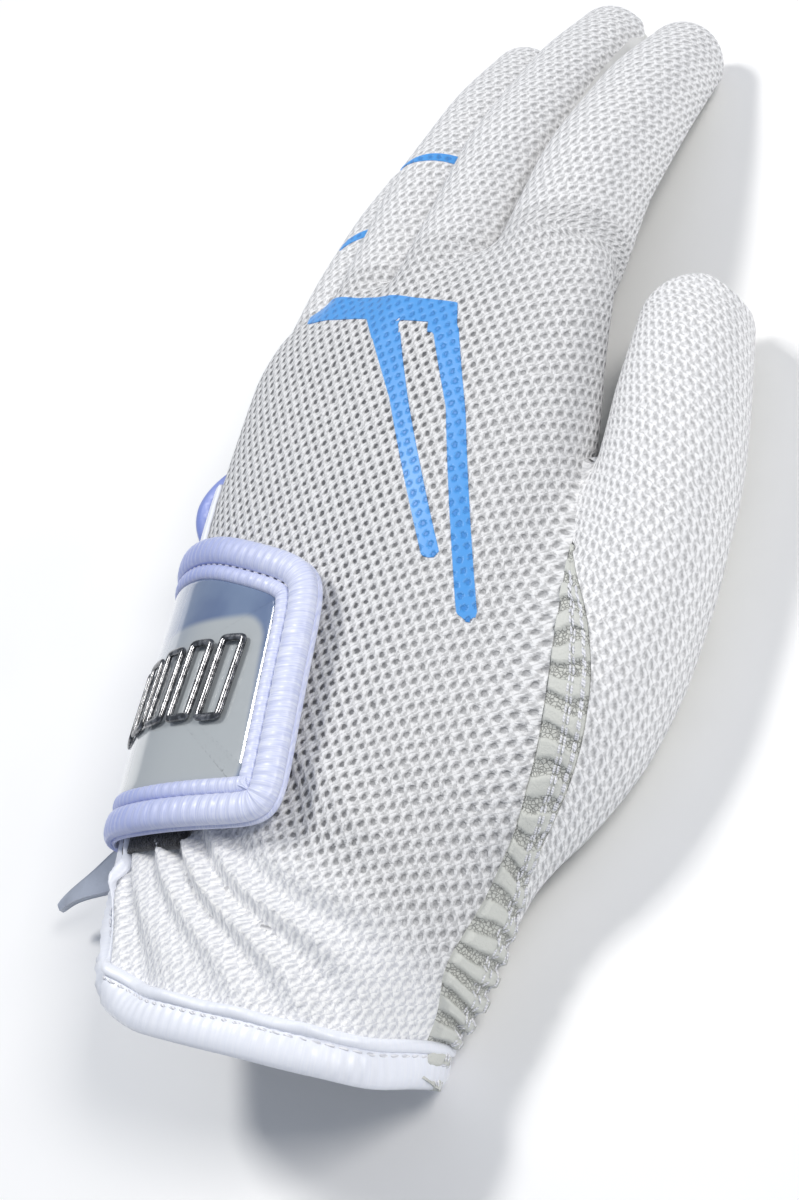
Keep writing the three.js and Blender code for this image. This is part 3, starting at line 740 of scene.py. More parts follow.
def shell(name, points, faces, normals, uv, outside=0.0, inside=-SKIN):
    """Closed skin of even thickness over some faces of the glove."""
    used, index = np.unique(faces, return_inverse=True)
    faces = index.reshape(-1, 3)
    p, n = points[used], normals[used]
    count = len(used)
    directed = np.stack([faces, np.roll(faces, -1, 1)], 2).reshape(-1, 2)
    key = np.sort(directed, 1)
    _, first, number = np.unique(key, axis=0, return_index=True, return_counts=True)
    rim = directed[first[number == 1]]
    verts = np.vstack([p + n * outside, p + n * inside])
    quads = np.column_stack([rim[:, 1], rim[:, 0], rim[:, 0] + count, rim[:, 1] + count])
    polys = list(faces) + list(faces[:, ::-1] + count) + list(quads)
    along = verts[quads[:, 1]] - verts[quads[:, 0]]
    down = verts[quads[:, 2]] - verts[quads[:, 1]]
    wall = unit(np.cross(unit(along), n[rim[:, 0]]))
    wall *= np.sign((wall * np.cross(along, down)).sum(1, keepdims=True))
    loops = np.vstack([n[faces.ravel()], -n[faces[:, ::-1].ravel()], np.repeat(wall, 4, 0)])
    both = np.vstack([uv[used], uv[used]])
    return make_object(name, verts, polys, both, loops)


# ------------------------------------------------------------------ the cut skin
points, faces = whole_skin()
for line in ("back", "palm_line", "off_thumb", "strip_back", "past_web",
             "between_0", "between_1", "between_2", "rim"):
    points, faces = cut(points, faces, seam_fields(points)[line])
for shape in (print_field, ring_field, pinky_field):
    points, faces = cut(points, faces, shape(points))
points = settle(points, turns=1)
corner = points[faces]
area = np.linalg.norm(np.cross(corner[:, 1] - corner[:, 0], corner[:, 2] - corner[:, 0]), axis=1)
faces = faces[area > 1e-5]

# the thumb's skin goes over from the hand to the thumb between these two points
THUMB_START = np.array([45.0, 45, 20])
THUMB_END = np.array([62.0, 75, 8])
centre = points[faces].mean(1)
seams = seam_fields(centre)
print_at, ring_at, pinky_at = print_field(centre), ring_field(centre), pinky_field(centre)
is_back = seams["back"] > 0
is_wall = ~is_back & (seams["palm_line"] > 0)
is_palm = ~is_back & ~is_wall
on_thumb = is_back & (seams["off_thumb"] < 0)
in_strip = is_back & ~on_thumb & (seams["strip_back"] < 0)
past_web = seams["past_web"] > 0
kept = seams["rim"] > 0
beyond = (centre - THUMB_START) @ (THUMB_END - THUMB_START) > 0
thumb_under = is_palm & beyond & (seams["thumb"] > 0) & ~past_web


def relief(p, f):
    """Height over the smooth skin: grooves along the seams, and the cuff's gathers."""
    lines = [np.abs(f["back"]), np.abs(f["palm_line"])]
    top = f["back"] > -2
    lines.append(np.where(top & (p[:, 1] > 30), np.abs(f["off_thumb"]), 9))
    distance = np.minimum.reduce(lines)
    height = -0.55 * np.exp(-(distance / 1.1) ** 2) + 0.18 * np.exp(-((distance - 2.4) / 1.1) ** 2)
    height *= smooth((f["rim"] - 3) / 4)
    height += gathers(f["q"], p[:, 1]) * (f["back"] > 0) * smooth(f["back"] / 5)
    return height


fields_at_points = seam_fields(points)
slope = unit(gradient(points))
points = points + slope * relief(points, fields_at_points)[:, None]
normals = point_normals(points, faces)


def hand_uv(p, f):
    """Unrolled place of each point in mm: round the hand or finger, and along it."""
    u, v = f["q"].copy(), p[:, 1].copy()
    for k, limb in enumerate(limbs.values()):
        mine = f["member"] == k
        s, a, up, over, wide, high = limb.local(p[mine])
        radius = (wide + high) / 2
        around = np.arctan2(a / wide, np.maximum(up / high, -0.9)) * radius
        w = smooth((f["web"][mine] - 84) / 14)
        middle = np.interp(40, limb.s, limb.values[:, 0])
        u[mine] = u[mine] * (1 - w) + (around + middle) * w
        v[mine] = v[mine] * (1 - w) + (s + over + limb.values[0, 1] + LEAD) * w
    return np.column_stack([u, v])


def thumb_uv(p):
    s, a, up, over, wide, high = thumb.local(p)
    return np.column_stack([np.arctan2(a / wide, up / high) * (wide + high) / 2, s + over])


uv_hand = hand_uv(points, fields_at_points)
uv_thumb = thumb_uv(points)


# ------------------------------------------------------------------ materials
class Shader:
    """A Principled material with short calls for its nodes."""

    def __init__(self, name, color, rough, **sockets):
        self.mat = bpy.data.materials.new(name)
        self.mat.use_nodes = True
        self.tree = self.mat.node_tree
        self.bsdf = self.tree.nodes["Principled BSDF"]
        self.bsdf.inputs["Base Color"].default_value = (*color, 1)
        self.bsdf.inputs["Roughness"].default_value = rough
        for key, value in sockets.items():
            self.bsdf.inputs[key.replace("_", " ")].default_value = value

    def node(self, kind, inputs, output=0, **props):
        node = self.tree.nodes.new(kind)
        for key, value in props.items():
            setattr(node, key, value)
        for key, value in inputs.items():
            if hasattr(value, "is_linked"):
                self.tree.links.new(value, node.inputs[key])
            else:
                node.inputs[key].default_value = value
        return node.outputs[output]

    def math(self, operation, a, b=0.0, c=0.0):
        return self.node("ShaderNodeMath", {0: a, 1: b, 2: c}, operation=operation)

    def length(self, x, y):
        x, y = (self.math("MULTIPLY", part, part) for part in (x, y))
        return self.math("SQRT", self.math("ADD", x, y))

    def spread(self, value, low, high, to_low=0.0, to_high=1.0):
        return self.node("ShaderNodeMapRange", {0: value, 1: low, 2: high, 3: to_low, 4: to_high},
                         interpolation_type="SMOOTHSTEP")

    def mix(self, factor, a, b):
        """Mix of two colours, each of them a socket or three numbers."""
        a, b = (c if hasattr(c, "is_linked") else (*c, 1) for c in (a, b))
        return self.node("ShaderNodeMix", {0: factor, 6: a, 7: b}, output=2, data_type="RGBA")

    def place(self, scale=1.0):
        """Object coordinates in mm times scale."""
        where = self.node("ShaderNodeTexCoord", {}, output=3)
        return self.node("ShaderNodeVectorMath", {0: where, 3: 1000.0 * scale}, operation="SCALE")

    def parts(self, vector):
        """x, y and z of a vector."""
        node = self.tree.nodes.new("ShaderNodeSeparateXYZ")
        self.tree.links.new(vector, node.inputs[0])
        return node.outputs

    def flat(self):
        """Unrolled u and v in mm."""
        uv = self.parts(self.node("ShaderNodeUVMap", {}, uv_map="UVMap"))
        return [self.math("MULTIPLY", part, 1 / UV_SCALE) for part in (uv[0], uv[1])]

    def noise(self, vector, scale, detail=2.0, output=0):
        inputs = {"Vector": vector, "Scale": scale, "Detail": detail}
        return self.node("ShaderNodeTexNoise", inputs, output)

    def vector(self, x, y, z=0.0):
        return self.node("ShaderNodeCombineXYZ", {0: x, 1: y, 2: z})

    def color(self, value):
        self.tree.links.new(value, self.bsdf.inputs["Base Color"])

    def rough(self, value):
        self.tree.links.new(value, self.bsdf.inputs["Roughness"])

    def bump(self, height, strength, distance_mm):
        normal = self.node("ShaderNodeBump", {"Height": height, "Strength": strength,
                                              "Distance": distance_mm * MM})
        self.tree.links.new(normal, self.bsdf.inputs["Normal"])


ACROSS, ALONG = (1.88, 0.79), (1.20, -2.02)     # steps between the knit's holes, in mm
CELL_AREA = ACROSS[0] * ALONG[1] - ACROSS[1] * ALONG[0]
HOLE = (0.43, 0.52)                             # half sizes of a hole
JITTER = 0.75                                   # how far noise moves the holes
CUFF_LINE = (-31.0, -17.0)                      # over this the knit's holes open, away from the cuff
# painted shade: colour of the knit's holes, where the glove's inside lies in shade
HOLE_SHADE = (0.035, 0.037, 0.045)


def lattice(s, mirror=1.0):
    """Knit pattern: hole mask, yarn relief, and distance from the hole in hole sizes."""
    u, v = s.flat()
    jitter = s.parts(s.noise(s.vector(u, v), 0.5, 2.0, output=1))
    x = s.math("MULTIPLY", s.math("MULTIPLY_ADD", jitter[0], JITTER, u), mirror)
    y = s.math("MULTIPLY_ADD", jitter[1], JITTER, v)
    # i and j count the holes across and along; their fractions give the place beside one hole
    i = s.math("MULTIPLY_ADD", x, ALONG[1] / CELL_AREA, s.math("MULTIPLY", y, -ALONG[0] / CELL_AREA))
    j = s.math("MULTIPLY_ADD", x, -ACROSS[1] / CELL_AREA, s.math("MULTIPLY", y, ACROSS[0] / CELL_AREA))
    i = s.math("SUBTRACT", s.math("FRACT", i), 0.5)
    j = s.math("SUBTRACT", s.math("FRACT", j), 0.5)
    dx = s.math("MULTIPLY_ADD", i, ACROSS[0], s.math("MULTIPLY", j, ALONG[0]))
    dy = s.math("MULTIPLY_ADD", i, ACROSS[1], s.math("MULTIPLY", j, ALONG[1]))
    rough_edge = s.noise(s.vector(u, v), 1.9, 2.0)
    d = s.length(s.math("DIVIDE", dx, HOLE[0]), s.math("DIVIDE", dy, HOLE[1]))
    d = s.math("MULTIPLY_ADD", s.math("SUBTRACT", rough_edge, 0.5), 1.5, d)
    hole = s.spread(d, 0.55, 1.42, 1.0, 0.0)
    fuzz = s.noise(s.vector(s.math("MULTIPLY", u, 1.5), v), 1.7, 3.0)
    loop = s.math("SINE", s.math("MULTIPLY_ADD", dx, 3.6, s.math("MULTIPLY", dy, -2.6)))
    yarn = s.math("MULTIPLY_ADD", loop, 0.2, fuzz)
    return hole, yarn, d


def knit_material(name, depth, white, relief_size=0.8, cuff=False, mirror=1.0):
    """Knit with holes painted dark to a given depth of grey and its yarn painted darker where it lies low:
    painted shade. With cuff the holes close and soften by place.
    """
    s = Shader(name, (0.86, 0.86, 0.88), 0.72, Sheen_Weight=0.25, Sheen_Roughness=0.5)
    hole, yarn, d = lattice(s, mirror)
    # painted shade: dark in the holes, and darker yarn where its relief lies low
    dark = s.math("MULTIPLY", hole, depth)
    shade = s.spread(yarn, 0.22, 0.72)
    bright = (white, white, min(1.0, 1.01 * white))
    fabric = s.mix(shade, tuple(0.6 * c for c in bright), bright)
    open_relief = 1.0
    if cuff:
        # holes are open over the middle of the back, closed at the cuff and soft near the fingers
        u, v = s.flat()
        line = s.math("MULTIPLY_ADD", u, 0.45, v)
        drawn = s.math("MULTIPLY", s.spread(line, *CUFF_LINE, 0.05, 1.0),
                       s.spread(v, 72.0, 100.0, 1.0, 0.4))
        drawn = s.math("MULTIPLY", drawn, s.spread(u, 12.0, 38.0, 1.0, 0.5))
        dark = s.math("MULTIPLY", dark, drawn)
        opened = s.spread(line, *CUFF_LINE)
        open_relief = s.math("MULTIPLY_ADD", opened, 0.7, 0.3)
        fabric = s.mix(opened, s.mix(shade, (0.66, 0.67, 0.71), (0.95, 0.95, 0.95)), fabric)
    s.color(s.mix(dark, fabric, HOLE_SHADE))
    relief = s.math("MULTIPLY_ADD", hole, -1.0, s.spread(d, 0.6, 2.4))
    relief = s.math("MULTIPLY", relief, open_relief)
    s.bump(s.math("MULTIPLY_ADD", yarn, 0.9, relief), relief_size, 0.36)
    return s.mat


def print_material():
    s = Shader("blue_film", (0.07, 0.33, 0.78), 0.42, Coat_Weight=0.15, Coat_Roughness=0.3)
    hole, _, d = lattice(s)
    # painted shade: the film is painted a deeper blue in the holes of the knit under it
    in_hole = s.math("MULTIPLY_ADD", hole, 0.7, 0.1)
    s.color(s.mix(in_hole, (0.085, 0.36, 0.83), (0.035, 0.22, 0.62)))
    s.bump(s.math("MULTIPLY_ADD", hole, -1.0, s.spread(d, 0.5, 2.0)), 0.55, 0.35)
    return s.mat


def leather_material(name, color, rough=0.5):
    s = Shader(name, color, rough)
    where = s.place()
    cell = s.node("ShaderNodeTexVoronoi", {"Vector": where, "Scale": 1.6, "Randomness": 1.0},
                  feature="SMOOTH_F1")
    cloud = s.noise(where, 0.14, 3.0)
    fine = s.noise(where, 3.0, 2.0)
    darker = tuple(0.82 * c for c in color)
    s.color(s.mix(s.spread(cloud, 0.35, 0.7), color, darker))
    s.rough(s.spread(fine, 0.2, 0.8, rough - 0.08, rough + 0.12))
    s.bump(s.math("MULTIPLY_ADD", fine, 0.5, cell), 0.3, 0.16)
    return s.mat


def shirred_material():
    s = Shader("shirred_leather", (0.6, 0.61, 0.57), 0.48)
    where = s.place()
    _, v = s.flat()                     # v counts the strip's puffs
    crumple = s.node("ShaderNodeTexVoronoi", {"Vector": where, "Scale": 1.5},
                     feature="DISTANCE_TO_EDGE")
    # painted shade: the creases between the puffs are painted dark along the crumple lines
    band = s.spread(s.math("COSINE", s.math("MULTIPLY", v, 2 * math.pi)), -0.35, 0.1, 1.0, 0.0)
    crease = s.math("MULTIPLY", band, s.spread(crumple, 0.0, 0.16, 1.0, 0.0))
    s.color(s.mix(s.math("MULTIPLY", crease, 0.75), (0.63, 0.64, 0.60), (0.2, 0.2, 0.19)))
    grain = s.noise(where, 2.4, 3.0)
    s.bump(s.math("MULTIPLY_ADD", crease, -1.6, grain), 0.5, 0.3)
    return s.mat


def satin_material(name, lit, shade, turn_mm=None):
    """Satin tape, its threads painted toward the shade colour where they lie low. With turn_mm its colour
    is painted shade at the lower x and turns to lit between those two x.
    """
    s = Shader(name, lit, 0.42, Sheen_Weight=0.5, Sheen_Roughness=0.35)
    where = s.place()
    u, v = s.flat()
    thread = s.noise(s.vector(s.math("MULTIPLY", u, 3.4), s.math("MULTIPLY", v, 0.5)), 1.0, 2.0)
    amount = s.spread(thread, 0.25, 0.75, 0.65, 1.0)
    if turn_mm:
        amount = s.math("MULTIPLY", amount, s.spread(s.parts(where)[0], *turn_mm, 0.1, 1.0))
    s.color(s.mix(amount, shade, lit))
    s.rough(s.spread(s.noise(where, 1.2, 2.0), 0.3, 0.7, 0.34, 0.5))
    s.bump(s.math("MULTIPLY_ADD", s.noise(where, 0.5, 2.0), 0.6, thread), 0.14, 0.12)
    return s.mat


def pile_material():
    s = Shader("hook_and_loop", (0.012, 0.012, 0.016), 0.95, Sheen_Weight=0.4)
    where = s.place()
    tuft = s.noise(where, 2.6, 4.0)
    s.color(s.mix(s.spread(tuft, 0.52, 0.72), (0.008, 0.008, 0.012), (0.09, 0.09, 0.11)))
    s.bump(tuft, 1.0, 0.6)
    return s.mat


def elastic_material():
    s = Shader("wrist_elastic", (0.74, 0.74, 0.75), 0.7)
    _, v = s.flat()
    rib = s.math("SINE", s.math("MULTIPLY", v, 6.283 / 1.1))
    grain = s.noise(s.place(), 3.0, 2.0)
    # painted shade: the grooves between the ribs are painted darker
    s.color(s.mix(s.spread(rib, -0.8, 0.6), (0.5, 0.5, 0.52), (0.8, 0.8, 0.81)))
    s.bump(s.math("MULTIPLY_ADD", grain, 0.5, rib), 0.5, 0.25)
    return s.mat


def window_material():
    """Glossy film: a pale rounded field with a deeper blue border."""
    s = Shader("window_film", (0.16, 0.23, 0.36), 0.14, Coat_Weight=1.0, Coat_Roughness=0.05, IOR=1.5)
    u, v = s.flat()
    x = s.math("ABSOLUTE", s.math("MULTIPLY_ADD", v, 0.15, s.math("ADD", u, 22.0)))
    y = s.math("ABSOLUTE", s.math("ADD", v, 6.0))
    px = s.math("MAXIMUM", s.math("SUBTRACT", x, 18.6), 0.0)
    py = s.math("MAXIMUM", s.math("SUBTRACT", y, 11.5), 0.0)
    inner = s.spread(s.length(px, py), 4.8, 6.6, 1.0, 0.0)
    sweep = s.spread(s.math("MULTIPLY_ADD", v, -0.5, u), -48.0, -16.0)
    cloud = s.noise(s.place(), 0.09, 2.0)
    deep = s.mix(s.spread(cloud, 0.3, 0.7), (0.105, 0.155, 0.29), (0.17, 0.235, 0.37))
    pale = s.mix(sweep, (0.17, 0.235, 0.38), (0.44, 0.47, 0.485))
    s.color(s.mix(inner, deep, pale))
    s.rough(s.spread(s.noise(s.place(), 0.6, 3.0), 0.3, 0.8, 0.1, 0.24))
    s.bump(s.noise(s.place(), 0.12, 1.0), 0.12, 0.5)
    return s.mat


def chrome_material():
    s = Shader("dark_chrome", (0.2, 0.2, 0.21), 0.24, Metallic=1.0)
    # lighter and darker blotches over the chrome's colour and roughness
    blotch = s.noise(s.place(), 0.9, 3.0)
    s.color(s.mix(s.spread(blotch, 0.4, 0.65), (0.13, 0.13, 0.135), (0.34, 0.34, 0.35)))
    s.rough(s.spread(blotch, 0.3, 0.8, 0.16, 0.34))
    s.bump(s.noise(s.place(), 2.0, 2.0), 0.15, 0.1)
    return s.mat


def thread_material():
    s = Shader("thread", (0.8, 0.8, 0.83), 0.6, Sheen_Weight=0.3)
    twist = s.node("ShaderNodeTexWave", {"Vector": s.place(), "Scale": 0.9, "Distortion": 1.5},
                   bands_direction="DIAGONAL")
    # painted shade: the grooves of the twist are painted darker
    s.color(s.mix(twist, (0.62, 0.63, 0.68), (0.9, 0.9, 0.93)))
    s.bump(twist, 0.5, 0.1)
    return s.mat


knit_back = knit_material("mesh_knit", 0.92, 0.89, cuff=True)
knit_finger = knit_material("mesh_knit_fingers", 0.3, 0.94, 0.6)
knit_thumb = knit_material("mesh_knit_thumb", 0.22, 0.96, 0.5, mirror=-1.0)
blue_film = print_material()
palm_leather = leather_material("palm_leather", (0.70, 0.71, 0.68))
side_leather = leather_material("side_leather", (0.74, 0.74, 0.73))
# painted shade: the flap is the leather painted dark grey-blue, as it lies in shade
flap_leather_painted_shade = leather_material("flap_leather_painted_shade", (0.40, 0.44, 0.53))
shirred = shirred_material()
satin = satin_material("satin", (0.86, 0.88, 0.94), (0.74, 0.78, 0.90))
# painted shade: the tab turns deep periwinkle towards its ulnar side, at low x, and pale where lit
satin_tab = satin_material("satin_tab", (0.78, 0.81, 0.95), (0.17, 0.24, 0.64), (-46.0, 12.0))
pile = pile_material()
elastic = elastic_material()
film = window_material()
chrome = chrome_material()
thread = thread_material()


# ------------------------------------------------------------------ panels
KNUCKLE_BEND = ("hand", "knuckles", (0, 0.060, 0.03), (0, 0.084, 0.03))
THUMB_BEND = ("hand", "thumb", tuple(THUMB_START * MM), tuple(THUMB_END * MM))
BEND_Y = {"index": 117.8, "middle": 125.9, "ring": 117.5, "pinky": 98.5}
FINGER_NAMES = list(limbs)
FILM = {"outside": 0.16, "inside": -0.1}        # the print lies in the knit's outer face


def finger_bend(name):
    y = BEND_Y[name]
    start, end = y - (4 if name == "pinky" else 9), y + 10
    return "knuckles", name, (0, start * MM, 0.02), (0, end * MM, 0.02)


def panel(name, mask, uv, material, slot, nodes, bend, **sizes):
    obj = shell(name, points, faces[mask & kept], normals, uv, **sizes)
    return finish_piece(obj, material, nodes, bend=bend)


def make_panels():
    top = is_back & ~on_thumb & ~in_strip
    panel("back_of_hand", top & ~past_web, uv_hand, knit_back, "mesh_knit",
          ["back_panel", "knuckle_back"], KNUCKLE_BEND)
    panel("palm_of_hand", is_palm & ~past_web & ~thumb_under, uv_hand, palm_leather, "palm_leather",
          ["palm_panel", "knuckle_palm"], KNUCKLE_BEND)
    panel("thumb_knit", on_thumb, uv_thumb, knit_thumb, "mesh_knit",
          ["thumb_heel", "thumb_back"], THUMB_BEND)
    panel("thumb_palm_leather", thumb_under, uv_thumb, palm_leather, "palm_leather",
          ["thumb_palm"], THUMB_BEND)
    panel("knuckle_print", top & ~past_web & (print_at < 0), uv_hand, blue_film, "blue_print",
          ["print_bar", "print_leg_ulnar", "print_leg_radial"], KNUCKLE_BEND, **FILM)
    webs = {"index": ["fork_index_middle"], "middle": ["fork_middle_ring"], "ring": ["fork_ring_pinky"],
            "pinky": []}
    for k, name in enumerate(FINGER_NAMES):
        mine = seams["member"] == k
        bend = finger_bend(name)
        panel(name + "_knit", top & past_web & mine, uv_hand, knit_finger, "mesh_knit",
              [name + "_back"], bend)
        panel(name + "_leather", is_palm & past_web & mine, uv_hand, palm_leather, "palm_leather",
              [name + "_palm"], bend)
        for side, word in ((1, "radial"), (0, "ulnar")):
            node = f"{name}_fork_{word}"
            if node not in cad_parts:
                continue
            nodes = [node] + (webs[name] if word == "ulnar" else [])
            panel(node + "_leather", is_wall & mine & (seams["side"] == side), uv_hand, side_leather,
                  "side_leather", nodes, bend)
    marks = {"ring": ring_at, "pinky": pinky_at}
    for k, name in enumerate(FINGER_NAMES):
        if name in marks:
            mask = top & (seams["web"] > 80) & (seams["member"] == k) & (marks[name] < 0)
            panel(name + "_mark", mask, uv_hand, blue_film, "blue_print", [name + "_print"],
                  finger_bend(name), **FILM)


make_panels()


# ------------------------------------------------------------------ pieces laid on the unrolled hand
def grid_faces(rows, columns, close_rows, close_columns):
    i, j = np.meshgrid(np.arange(rows if close_rows else rows - 1),
                       np.arange(columns if close_columns else columns - 1), indexing="ij")
    i, j = i.ravel(), j.ravel()
    i2, j2 = (i + 1) % rows, (j + 1) % columns
    return np.column_stack([i * columns + j, i2 * columns + j, i2 * columns + j2, i * columns + j2])


def plane_normals(path, closed):
    if closed:
        tangent = np.roll(path, -1, 0) - np.roll(path, 1, 0)
    else:
        tangent = np.gradient(path, axis=0)
    tangent = unit(tangent)
    return np.column_stack([-tangent[:, 1], tangent[:, 0]])


def oval(inset, height, wide, tall, power=2.4, count=14):
    """Round section of a welt: inset from the edge and height over the skin."""
    turn = np.linspace(0, 2 * math.pi, count, endpoint=False)
    c, s = np.cos(turn), np.sin(turn)
    return np.column_stack([inset + wide * np.sign(c) * np.abs(c) ** (2 / power),
                            height + tall * np.sign(s) * np.abs(s) ** (2 / power)])


PUCKER_PITCH = 2.2                      # between the small waves that a seam draws into a tape


def sweep(name, path, profile, closed=False, pucker=0.0, laid=False, taper=0.0):
    """Runs a section along an unrolled path. Its inset is to the left of the path."""
    left = plane_normals(path, closed)
    rows, columns = len(path), len(profile)
    length = lengths_along(path)
    full = np.ones(rows)
    if taper:
        full = np.sqrt(smooth((np.minimum(length, length[-1] - length) + 0.2) / taper))
    inset = profile[:, 0].mean() + (profile[:, 0] - profile[:, 0].mean()) * full[:, None]
    q = path[:, :1] + left[:, :1] * inset
    y = path[:, 1:] + left[:, 1:] * inset
    wave = pucker * np.cos(2 * math.pi * length / PUCKER_PITCH + 0.7 * np.sin(length / 5))
    height = profile[:, 1].min() + (profile[:, 1] - profile[:, 1].min()) * full[:, None]
    height = height + np.clip(profile[:, 1] - profile[:, 1].mean(), 0, None) * wave[:, None]
    verts = chart.lift(q.ravel(), y.ravel(), height.ravel(), laid)
    polys = [f[::-1] for f in grid_faces(rows, columns, closed, True)]
    if not closed:
        polys += [np.arange(columns), np.arange(columns)[::-1] + (rows - 1) * columns]
    around = np.linspace(0, 6, columns)
    uv = np.column_stack([np.repeat(length, columns), np.tile(around, rows)])
    return make_object(name, verts, polys, uv)


def sheet_patch(name, path, rings, grain=0.0):
    """Closed sheet over an unrolled outline. Each ring is inset, scale to the middle, height."""
    left = plane_normals(path, True)
    middle = path.mean(0)
    loops, heights = [], []
    for inset, scale, height in rings:
        ring = path + left * inset
        loops.append(middle + (ring - middle) * scale)
        heights.append(np.full(len(path), height))
    flat = np.vstack(loops)
    height = np.concatenate(heights)
    height = height + grain * rng.normal(size=len(height)) * (height > height.min() + 0.2)
    ends = np.vstack([flat, middle, middle])
    height = np.r_[height, rings[0][2], rings[-1][2]]
    verts = chart.lift(ends[:, 0], ends[:, 1], height, laid=True)
    count, total = len(path), len(flat)
    polys = [f[::-1] for f in grid_faces(len(rings), count, False, True)]
    for k in range(count):
        after = (k + 1) % count
        polys.append(np.array([total, after, k]))
        base = total - count
        polys.append(np.array([total + 1, base + k, base + after]))
    return make_object(name, verts, polys, ends)


# a stitch along its length: share of the half length, share of the full thickness
STITCH = [(-1, 0.25), (-0.8, 0.75), (-0.3, 1), (0.3, 1), (0.8, 0.75), (1, 0.25)]
STITCH_SIDES = 7


def one_stitch(length, wide, tall):
    """Points and faces of a stitch that lies along x."""
    turn = 2 * math.pi * np.arange(STITCH_SIDES) / STITCH_SIDES
    points = np.array([(x * length / 2, r * wide * math.cos(a), r * tall * math.sin(a))
                       for x, r in STITCH for a in turn])
    faces = list(grid_faces(len(STITCH), STITCH_SIDES, False, True))
    ends = np.arange(STITCH_SIDES)
    return points, faces + [ends[::-1], ends + (len(STITCH) - 1) * STITCH_SIDES]


def stitches(name, runs, length=1.5, wide=0.3, tall=0.22, gap=2.3):
    """Short raised stitches along runs of points, each run given with its skin normals."""
    template, faces = one_stitch(length, wide, tall)
    verts, polys = [], []
    for run, normal in runs:
        at = lengths_along(run)
        for s in np.arange(gap / 2, at[-1], gap):
            n = unit(interpolated(s, at, normal))
            t = unit(interpolated(s + 0.4, at, run) - interpolated(s - 0.4, at, run))
            b = unit(np.cross(n, t))
            n = np.cross(t, b)
            polys += [f + len(verts) * len(template) for f in faces]
            verts.append(interpolated(s, at, run) + template @ np.stack([t, b, n]))
    return make_object(name, np.vstack(verts), polys)


def run_on_hand(path, inset, height, closed=False, laid=False):
    left = plane_normals(path, closed)
    flat = path + left * inset
    if closed:
        flat = np.vstack([flat, flat[:1]])
    p = chart.lift(flat[:, 0], flat[:, 1], np.full(len(flat), height), laid)
    return p, unit(gradient(p))


def edge_part(first, last):
    """Part of the cuff edge between two shares of its length."""
    return edge[int(first * len(edge)):int(last * len(edge))]


# sections of the bindings: inset from the edge and height over the skin
BINDING = np.array([(6.2, 0.1), (5.6, 0.85), (3.6, 1.35), (1.8, 1.35), (0.2, 0.9), (-0.5, 0.0),
                    (-0.4, -0.9), (0.6, -1.6), (2.5, -1.9), (4.6, -1.7), (4.8, -1.2), (2.5, -1.3),
                    (0.9, -0.9), (0.6, -0.3), (0.9, 0.05), (2.8, 0.1)])
NARROW = BINDING * [0.72, 1.0]


ELASTIC = np.array([(19, -2.3), (19, -2.9), (24, -2.9), (29, -2.9), (29, -2.3), (24, -2.3)])
SLIT_FOLD = [(-44.5, 59), (-46.5, 46), (-46, 35.5)]
CORNER_Y, RADIAL_Q = -36.0, 63.0        # where the cuff's tape starts and ends


def tape(name, path, profile, nodes=(), material=satin, **shape):
    """Sewn piece along the edge, fixed to the hand."""
    return finish_piece(sweep(name, path, profile, **shape), material, nodes)


def make_edges():
    share = lengths_along(edge)
    share /= share[-1]
    far_side = 99.0                     # keeps the search on one side of the opening
    corner = share[np.argmin(np.abs(edge[:, 1] - CORNER_Y) + (edge[:, 0] > 0) * far_side)]
    radial = share[np.argmin(np.abs(edge[:, 0] - RADIAL_Q))]
    palm = share[np.argmin(np.abs(edge[:, 1] - CORNER_Y) + (edge[:, 0] < 60) * far_side)]
    tape("slit_tape", edge_part(0, corner), NARROW, ["slit_binding"])
    tape("slit_fold", joined(SLIT_FOLD, 3.0), oval(0, 2.6, 1.7, 3.8), material=satin_tab, taper=12.0)
    tape("slit_tape_palm", edge_part(palm, 1), NARROW)
    tape("cuff_tape", edge_part(corner, radial), BINDING, ["cuff_binding"], pucker=0.06)
    tape("palm_hem_tape", edge_part(radial, palm), BINDING, ["palm_hem"])
    tape("cuff_piping", edge_part(0.12, radial + 0.01), oval(6.3, 0.75, 1.05, 1.0, 2.1),
         ["cuff_welt"], pucker=0.05)
    run = run_on_hand(edge_part(corner + 0.015, radial), 4.75, 1.0)
    finish_piece(stitches("cuff_stitches", [run], length=1.7), thread)
    band = sweep("inner_elastic", edge_part(0.16, palm - 0.01), ELASTIC)
    finish_piece(band, elastic, ["wrist_elastic"])


make_edges()


# ------------------------------------------------------------------ shirred strip
RIB = 5.6                               # pitch of the strip's puffs


STRIP_COLUMNS = 26
STRIP_THICK = 1.3
STRIP_SEAMS = (0.53, 0.59, 0.81, 0.87)  # its four lines of stitches, as shares of its width


def slab(name, top, low, rows, columns, uv, flip=False):
    """Closed sheet between two grids of points."""
    count = rows * columns
    quads = grid_faces(rows, columns, False, False)
    ring = ([k for k in range(columns)] + [k * columns + columns - 1 for k in range(1, rows)]
            + [(rows - 1) * columns + k for k in range(columns - 2, -1, -1)]
            + [k * columns for k in range(rows - 2, 0, -1)])
    sides = [np.array([a, b, b + count, a + count]) for a, b in zip(ring, ring[1:] + ring[:1])]
    polys = list(quads) + [f[::-1] + count for f in quads] + [f[::-1] for f in sides]
    if flip:
        polys = [f[::-1] for f in polys]
    return make_object(name, np.vstack([top, low]), polys, np.vstack([uv, uv]))


